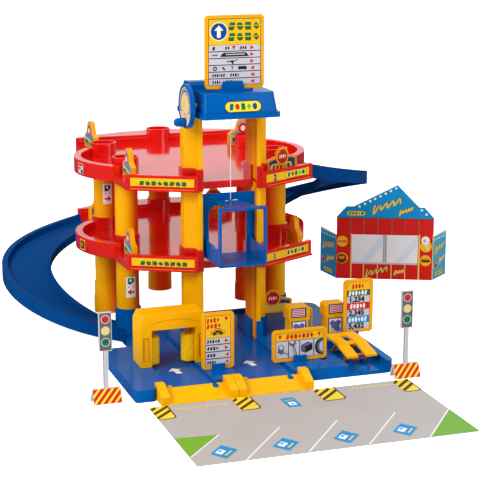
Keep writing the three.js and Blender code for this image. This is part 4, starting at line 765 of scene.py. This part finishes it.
for name, column, z_low, way, picture in (
    ("column_arrow_upper", "column_rear_left_upper", 167, 1, "navy"),
    ("column_arrow_lower", "column_front_left_lower", 57, -1, "green"),
):
    low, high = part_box(column)
    x, y = ((low[axis] + high[axis]) * 500 for axis in (0, 1))
    patches = [
        ("white", -7, 7, 0, 1, 0),
        (picture, -4.5, 4.5, 0.64, 0.94, 0),
        ("white", -2, 1, 0.78, 0.88, 0), ("white", 1.5, 4.6, 0.6, 0.72, 0),
        ("red", -4.5, -2.5, 0.5, 0.55, 0), ("red", 2.5, 4.5, 0.5, 0.55, 0),
        ("red", -4.6, 0.6 if way > 0 else 4.6, 0.22, 0.31, 0),
        ("red", 0.2 * way, 4.8, 0.12, 0.41, 1) if way > 0 else ("red", -4.8, -0.2, 0.12, 0.41, -1),
    ]
    wrapped(name, x, y, (high[0] - low[0]) * 500, z_low, z_low + 30, 2, patches)
bay_x = -62.7
bay_y = 187
bay_radius = 107
for deck, patches in (
    ("upper", [
        ("grey", -8, 8, 0, 1, 0), ("brick", -7, 7, 0.72, 0.95, 0), ("brick", -7, 0, 0.4, 0.6, 0),
        ("green", 1, 7, 0.04, 0.4, 0),
    ]),
    ("lower", [
        ("yellow", -8, 8, 0, 1, 0), ("brown", -6.4, 6.4, 0.12, 0.88, 0), ("orange", -4, 1, 0.3, 0.7, 0),
    ]),
):
    z_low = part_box(deck + "_deck")[0][2] * 1000 + 3
    wrapped("bay_sticker_" + deck, bay_x, bay_y, bay_radius, z_low, z_low + 15, -78, patches)


# Lane arrows.
# Two small white arrows on the lane floors point the way in.
lane_z = 0.012
for index, (x, y, turn) in enumerate(((-105, -90, 11), (-3, -89.5, 8))):
    arrow = [("white", stamp(up_shape, 0, 0, 24, turn))]
    sticker("lane_arrow_%d" % index, "garage", (x / 1000, y / 1000, lane_z), right, (0, 1, 0), arrow)


# Gate boards and stop boards.
# Gate boards show a red plate with a white middle over a blue field and a green and yellow band;
# stop boards have a red eight-sided plate with white marks, over a blue field with a badge.
def board_place(node, turn, thick):
    # Foot of the street face of a board that is turned about the vertical
    low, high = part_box(node)
    run = ahead(turn)
    out = run.cross(Vector(up))
    return Vector(((low[0] + high[0]) / 2, (low[1] + high[1]) / 2, low[2])) + out * thick / 2000, run


field = [
    (-20, 3), (20, 3), (20, 16), (10, 22), (8.4, 32), (4.6, 37), (-4.6, 37), (-8.4, 32), (-10, 22),
    (-20, 16),
]
for name, turn in (
    ("board_upper_rear_left", -84), ("board_upper_front_left", -90), ("board_upper_rear_right", 0),
    ("board_lower_rear_left", 38), ("board_lower_front_left", -90), ("board_lower_front_right", 90),
):
    origin, run = board_place(name, turn, 7)
    shapes = [
        ("navy", [(x * 1.04, y) for x, y in field]),
        ("mist", [(x * 0.98, y * 0.97 + 0.5) for x, y in field]),
        ("sky", [(x * 0.88, y * 0.92 + 1.2) for x, y in field]),
        ("leaf", [(-17.6, 4.4), (17.6, 4.4), (17.6, 8), (-17.6, 14)]),
        ("lemon", [(-17.6, 13), (17.6, 7), (17.6, 10), (-17.6, 16)]),
        ("navy", [(-16, 7.4), (-6, 6.4), (-6, 10), (-16, 12)]),
        ("shade", rect(2, 5.4, 12, 7.6)),
        ("orange", eight(0, 26, 8.8)),
        ("red", eight(0, 26, 8)),
        ("white", disc(0, 26, 3.6, 4.2, 12)),
    ]
    sticker(name + "_print", "garage", origin, run, up, shapes, lift=0.15)
slope_turn = math.degrees(math.atan2(outer.y - inner.y, outer.x - inner.x))
for name, turn in (("stop_board_upper", slope_turn), ("stop_board_lower", 0), ("stop_board_ground", 0)):
    origin, run = board_place(name, turn, 4)
    sunk = origin - run.cross(Vector(up)) * 0.0008
    shapes = [("blue", [(-26, 3.8), (26, 3.8), (26, 17), (16, 20.5), (-16, 20.5), (-26, 17)])]
    if name == "stop_board_ground":
        shapes += [("brown", lozenge(3, 8.6, 46, 11.6)), ("gold", lozenge(3, 8.6, 45, 10.8))]
    else:
        shapes += badge(-2, 8.4, 46, 12)
    sticker(name + "_print", "garage", sunk, run, up, shapes, lift=0.1)
    shapes = [(colour, eight(0, 22.5, r)) for colour, r in (("yellow", 12.8), ("orange", 10.8), ("red", 10))]
    shapes += marks(["white"], 0, 22.5, 14, 5, 4)
    sticker(name + "_plate", "garage", origin, run, up, shapes, lift=0.1)


# Wash arch.
# Thin lines of painted shade run round the sunk panel on each leg, for the shade at the panel's deeper edge.
low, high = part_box("wash_arch")
foot = ((low[0] + high[0]) / 2, low[1], low[2])
panel_x = 37.5
for hand, side in ((-1, "left"), (1, "right")):
    x = panel_x * hand
    lines = [
        rect(x - 4.1, 8.4, x - 3.3, 39.6), rect(x + 3.3, 8.4, x + 4.1, 39.6),
        rect(x - 3.3, 8.4, x + 3.3, 9.2), rect(x - 3.3, 38.8, x + 3.3, 39.6),
    ]
    # Painted shade along the edges of the sunk panel
    shapes = [("recess_shade", line) for line in lines]
    sticker("arch_shade_lines_" + side, "garage", foot, right, up, shapes, lift=0.1)


# Pumps.
# A screen with red stripes above and a pale panel with a violet cross shape and a yellow spot below.
for name, shift in (("pump_left", 0.0), ("pump_right", 1.2)):
    low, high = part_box(name)
    middle = low[0] + 0.0155
    shapes = [("navy", rect(-12, 28.6, 9.6, 42.2)), ("white", rect(-10.2, 30.2, 7.8, 40.6))]
    for stripe in range(4):
        shapes.append(("red", rect(-9.6, 31 + stripe * 2.4, 7.2, 32.5 + stripe * 2.4)))
    shapes = [(colour, [(x + shift, y + shift) for x, y in outline]) for colour, outline in shapes]
    sticker(name + "_screen", "garage", (middle, low[1], low[2]), right, up, shapes)
    cross = [
        (-9, 5), (-6, 11), (-9, 17), (-5, 21), (0, 18), (5, 21), (9, 17), (6, 11), (9, 5), (4, 3),
        (0, 5), (-4, 3),
    ]
    shapes = [
        ("navy", rect(-11.4, 1.4, 10, 24)),
        ("white", rect(-9.8, 2.6, 8.4, 22.6)),
        ("violet", [(x * 0.98 - 0.6, y) for x, y in cross]),
        ("lemon", disc(-5.6, 5.6, 3.6)),
    ]
    sticker(name + "_panel", "garage", (middle, low[1] + 0.0001, low[2]), right, up, shapes)


# Street mat.
# Grey card with white bay lines, blue parking cards, green corners and striped warning patches.
low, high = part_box("parking_mat")
corner = (low[0], low[1], high[2])
mould("parking_mat", inks["tarmac"], 0.1)
shapes = [
    ("leaf", [(0, 90), (0, 28), (52, 86)]),
    ("leaf", [(348, 83), (283, 0), (348, 0)]),
]
for (x0, y0), (x1, y1) in (
    ((0, 27), (52, 86)), ((57, 0), (128, 87)), ((131.5, 0), (201.4, 87)), ((206, 0), (278, 89)),
    ((283, 0), (348, 83)),
):
    shapes.append(("white", [(x0, y0), (x0 + 2.6, y0), (x1 + 2.6, y1), (x1, y1)]))
across = Vector((26.4, 29.1)) / 48
upward = Vector((-13.5, 18.9)) / 23
for index in range(4):
    centre = Vector((41.6 + 75 * index, 31.5))
    for colour, wide, tall, shift_x, shift_y in (
        ("pale_sky", 38, 24, 0, 0), ("sky", 35.6, 21.6, 0, 0), ("white", 16, 9.6, -3, 3.4),
        ("sky", 6, 3.6, -1, 5), ("gold", 20, 2.4, 0, -6.6),
    ):
        shapes.append((colour, [
            tuple(centre + across * (shift_x + a * wide) + upward * (shift_y + b * tall))
            for a, b in rect(-0.5, -0.5, 0.5, 0.5)
        ]))
shapes += [
    ("pale_sky", rect(163.5, 147.4, 182, 182)),
    ("sky", rect(164.9, 148.8, 180.6, 180.6)),
    ("white", rect(168, 154, 177.6, 166)),
    ("sky", rect(170.6, 156.6, 174.4, 160)),
    ("gold", rect(167, 172, 178.6, 174)),
]
shapes += marks(["gold"], 63.5, 185, 67, 4.6, 11)
shapes += marks(["gold"], 291.5, 189, 59, 4.6, 9)
stripe_high = 7.4
for x0, x1 in ((0, 24), (105.5, 132), (214.5, 245), (324, 348)):
    rim = [(x0, 155), (x1 - 7, 155), (x1 - 2, 157), (x1, 162), (x1, 202), (x0, 202)]
    inside = [(x0, 157), (x1 - 8, 157), (x1 - 3.4, 158.6), (x1 - 2, 163), (x1 - 2, 202), (x0, 202)]
    shapes += [("brown", rim), ("lemon", inside)]
    for foot in (157.5, 172.5, 187):
        rise = min(x1 - 2 - x0, 202 - stripe_high - foot)
        top = foot + rise
        stripe = [(x0, foot), (x0 + rise, top), (x0 + rise, top + stripe_high), (x0, foot + stripe_high)]
        shapes.append(("brown", stripe))
sticker("mat_print", "garage", corner, right, (0, 1, 0), shapes, step=0.02)


# Traffic lights.
# Grey card heads with three ringed lamps, on folded feet with red and yellow stripes.
for name in ("traffic_light_left", "traffic_light_right"):
    mould(name, inks["grey"], 0.2)
    low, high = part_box(name)
    centre_x = (low[0] + high[0]) / 2
    centre_y = (low[1] + high[1]) / 2
    shapes = [("shade", rect(-7.2, 67, 7.2, 114.8))]
    for height, colour in ((106.8, "red"), (92.2, "gold"), (77.6, "green")):
        shapes += [("mist", disc(0, height, 5.7)), (colour, disc(0, height, 4.6))]
    sticker(name + "_lamps", "garage", (centre_x, centre_y - 0.002, 0), right, up, shapes)
    lines = [("mist", rect(-0.6, 19, 0.8, 66)), ("shade", rect(-3.1, 19, -2.7, 66))]
    sticker(name + "_lines", "garage", (centre_x, centre_y - 0.0015, 0), right, up, lines)
    slope = Vector((0, 0.0084, 0.018))
    shapes = [("lemon", rect(-17.6, 0.5, 17.6, 19.4))]
    for stripe in range(6):
        x = -33 + stripe * 8.8
        outline = trimmed([(x, 0.5), (x + 5, 0.5), (x + 22, 19.4), (x + 17, 19.4)], -17.6, 17.6)
        if outline:
            shapes.append(("red", outline))
    sticker(name + "_foot", "garage", (centre_x, low[1], 0), right, slope, shapes)


# Kiosk front.
# A blue gable with white dots, a red front with pale seams round a window, and blue wings.
mould("kiosk_front", inks["board"], 0.2)
turn = -23.9
run = ahead(turn)
kiosk_middle = Vector((0.359, 0.2933, 0))
kiosk_wide = 156
fold_inset = 0.0008
base = kiosk_middle - run * kiosk_wide / 2000
shapes = [("brick", rect(0, 0, kiosk_wide, 101)), ("brown", rect(0, 100.6, kiosk_wide, 101.4))]
for x in (22.5, 43.9, 66.4, 88.9, 110.2, 132):
    shapes.append(("seam", rect(x - 0.8, 75, x + 0.8, 101)))
for x in (44.2, 66.9, 89, 111.1):
    shapes.append(("gold", rect(x - 0.8, 0, x + 0.8, 25)))
for x0, x1 in ((23, 25), (132, 134.4), (154.6, kiosk_wide)):
    shapes.append(("gold", rect(x0, 0, x1, 75)))
# The window, then two round pictures beside it on the left and two on the right
shapes += [
    ("grey", rect(24, 25, 131, 28.6)),
    ("white", rect(25, 28, 131, 73.8)),
    ("glass", rect(25.6, 28.6, 75, 73.2)),
    ("glass", rect(81.4, 28.6, 130.4, 73.2)),
    ("glint", [(38, 28.6), (52, 28.6), (75, 58), (75, 73.2), (73, 73.2)]),
    ("glint", [(94, 28.6), (108, 28.6), (130.4, 56), (130.4, 73.2), (129, 73.2)]),
    ("grey", rect(75, 28, 81.4, 74)),
    ("shade", rect(76.2, 28, 77, 74)),
    ("shade", rect(79.2, 28, 80, 74)),
    ("yellow", disc(9.5, 62, 9)),
    ("orange", rect(1.4, 60, 17.6, 64)),
    ("seam", rect(2, 61.4, 17, 62.4)),
    ("yellow", disc(9.6, 34, 9)),
    ("brown", disc(9, 33.4, 7.6)),
    ("orange", disc(9, 35, 5, 3)),
    ("yellow", disc(144, 56, 9.4)),
    ("cream", [(138, 62), (148.6, 62), (148.5, 46.6)]),
    ("white", disc(143.2, 66, 6.6)),
    ("pink", disc(141.6, 65, 2.4)),
    ("yellow", disc(143.9, 32.5, 9)),
    ("brown", lozenge(144, 33, 15, 7)),
    ("orange", lozenge(144, 35, 14, 3)),
]
shapes += scribble(47, 8, 84, 18, 15, 2) + scribble(94, 11, 111, 15, 10, 1.8)
gable = [
    (0, 103), (15.6, 120), (27.7, 119.7), (96.4, 156), (131.4, 120), (140.4, 120), (kiosk_wide, 103),
    (kiosk_wide, 101.4), (0, 101.4),
]
shapes.append(("sky", gable))
for x, y in (
    (36.4, 119.9), (44.9, 124.4), (53.4, 129), (60.9, 132.8), (69.5, 137.3), (77.8, 141.7),
    (85.8, 146.2), (94.3, 150.8), (136, 115.6), (143.5, 108.7),
):
    shapes.append(("white", disc(x, y, 2, steps=12)))
shapes += scribble(57, 114, 104, 131, 17, 2.6) + scribble(100, 110, 122, 118, 11, 2)
shapes += badge(31.2, 108.6, 30.4, 7.8)
sticker("kiosk_print", "garage", base, run, up, shapes, step=0.02)
for hand, long, fold, ground in ((-1, 57, 60, "sky"), (1, 50.5, 63, "pale_sky")):
    wing_run = ahead(turn + fold * hand)
    hinge = kiosk_middle + run * (kiosk_wide / 2000 - fold_inset) * hand
    start = hinge if hand > 0 else hinge - wing_run * long / 1000
    shapes = [(ground, rect(0.2, 0.2, long - 0.2, 71.3))]
    for dot in range(6):
        shapes.append(("white", disc(5 + dot * 9, 66.5, 1.8, steps=12)))
    shapes += scribble(9, 47, long - 8, 54, 15, 2.4) + scribble(24, 27, long - 8, 32, 13, 2.2)
    shapes += [("orange", disc(12, 22, 6)), ("brown", disc(12, 22, 3.4))]
    shapes += badge(long / 2, 7.6, 30, 7.6)
    side = "left" if hand < 0 else "right"
    sticker("kiosk_wing_" + side, "garage", start, wing_run, up, shapes, step=0.02)


# Lift string.
# A thin white cord from the winch to a bow knot on the cabin's roof; the bow's loops ride with the cabin.
cord = plastic("cord_fibre", (0.85, 0.84, 0.8), 0.8, cloud=0.12)
low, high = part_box("lift_string")
line_x = (low[0] + high[0]) / 2
line_y = (low[1] + high[1]) / 2
knot = Vector((line_x, line_y, low[2] + 0.006))
rings = 90
sides = 8
cord_radius = 0.00048
ripple = 0.00006
foot = low[2] + 0.0005
knot_level = low[2] + 0.0021
knot_half = 0.002
knot_swell = 0.0013
points, faces = [], []
for ring in range(rings + 1):
    level = foot + (high[2] - foot) * ring / rings
    thick = cord_radius + ripple * math.sin(ring * 1.9)
    near_knot = max(0, 1 - abs(level - knot_level) / knot_half)
    for side in range(sides):
        turn = 2 * math.pi * side / sides + ring * 0.35
        reach = thick + knot_swell * math.sqrt(near_knot)
        points.append((line_x + reach * math.cos(turn), line_y + reach * math.sin(turn), level))
    if ring:
        first = (ring - 1) * sides
        for side in range(sides):
            after = (side + 1) % sides
            faces.append((first + side, first + after, first + sides + after, first + sides + side))
faces.append(tuple(reversed(range(sides))))
faces.append(tuple(range(rings * sides, (rings + 1) * sides)))
mesh = bpy.data.meshes.new("hoist_string")
mesh.from_pydata(points, [], faces)
mesh.materials.append(cord)
mesh.shade_smooth()
piece = bpy.data.objects.new("hoist_string", mesh)
scene.collection.objects.link(piece)
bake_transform(piece)
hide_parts("lift_string")
for index, bow in enumerate((
    ((0, 0, 0), (7, -2, 4), (12, -3, 0), (6, -2, -2), (0, 0, 0)),
    ((0, 0, 0), (-7, -2, 3), (-11, -3, -1), (-6, -2, -2), (0, 0, 0)),
    ((0, 0, 0), (4, -4, -2), (8, -8, -3), (10, -12, -3)),
    ((0, 0, 0), (-3, -4, -2), (-5, -9, -3), (-9, -13, -3)),
)):
    curve = bpy.data.curves.new("string_bow_%d" % index, "CURVE")
    curve.dimensions = "3D"
    curve.bevel_depth = 0.00055
    curve.bevel_resolution = 3
    curve.use_fill_caps = True
    spline = curve.splines.new("NURBS")
    spline.points.add(len(bow) - 1)
    spline.use_endpoint_u = True
    for point, place in zip(spline.points, bow):
        point.co = (*(knot + Vector(place) / 1000), 1)
    curve.materials.append(cord)
    piece = bpy.data.objects.new("string_bow_%d" % index, curve)
    scene.collection.objects.link(piece)
    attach(piece, "cabin")
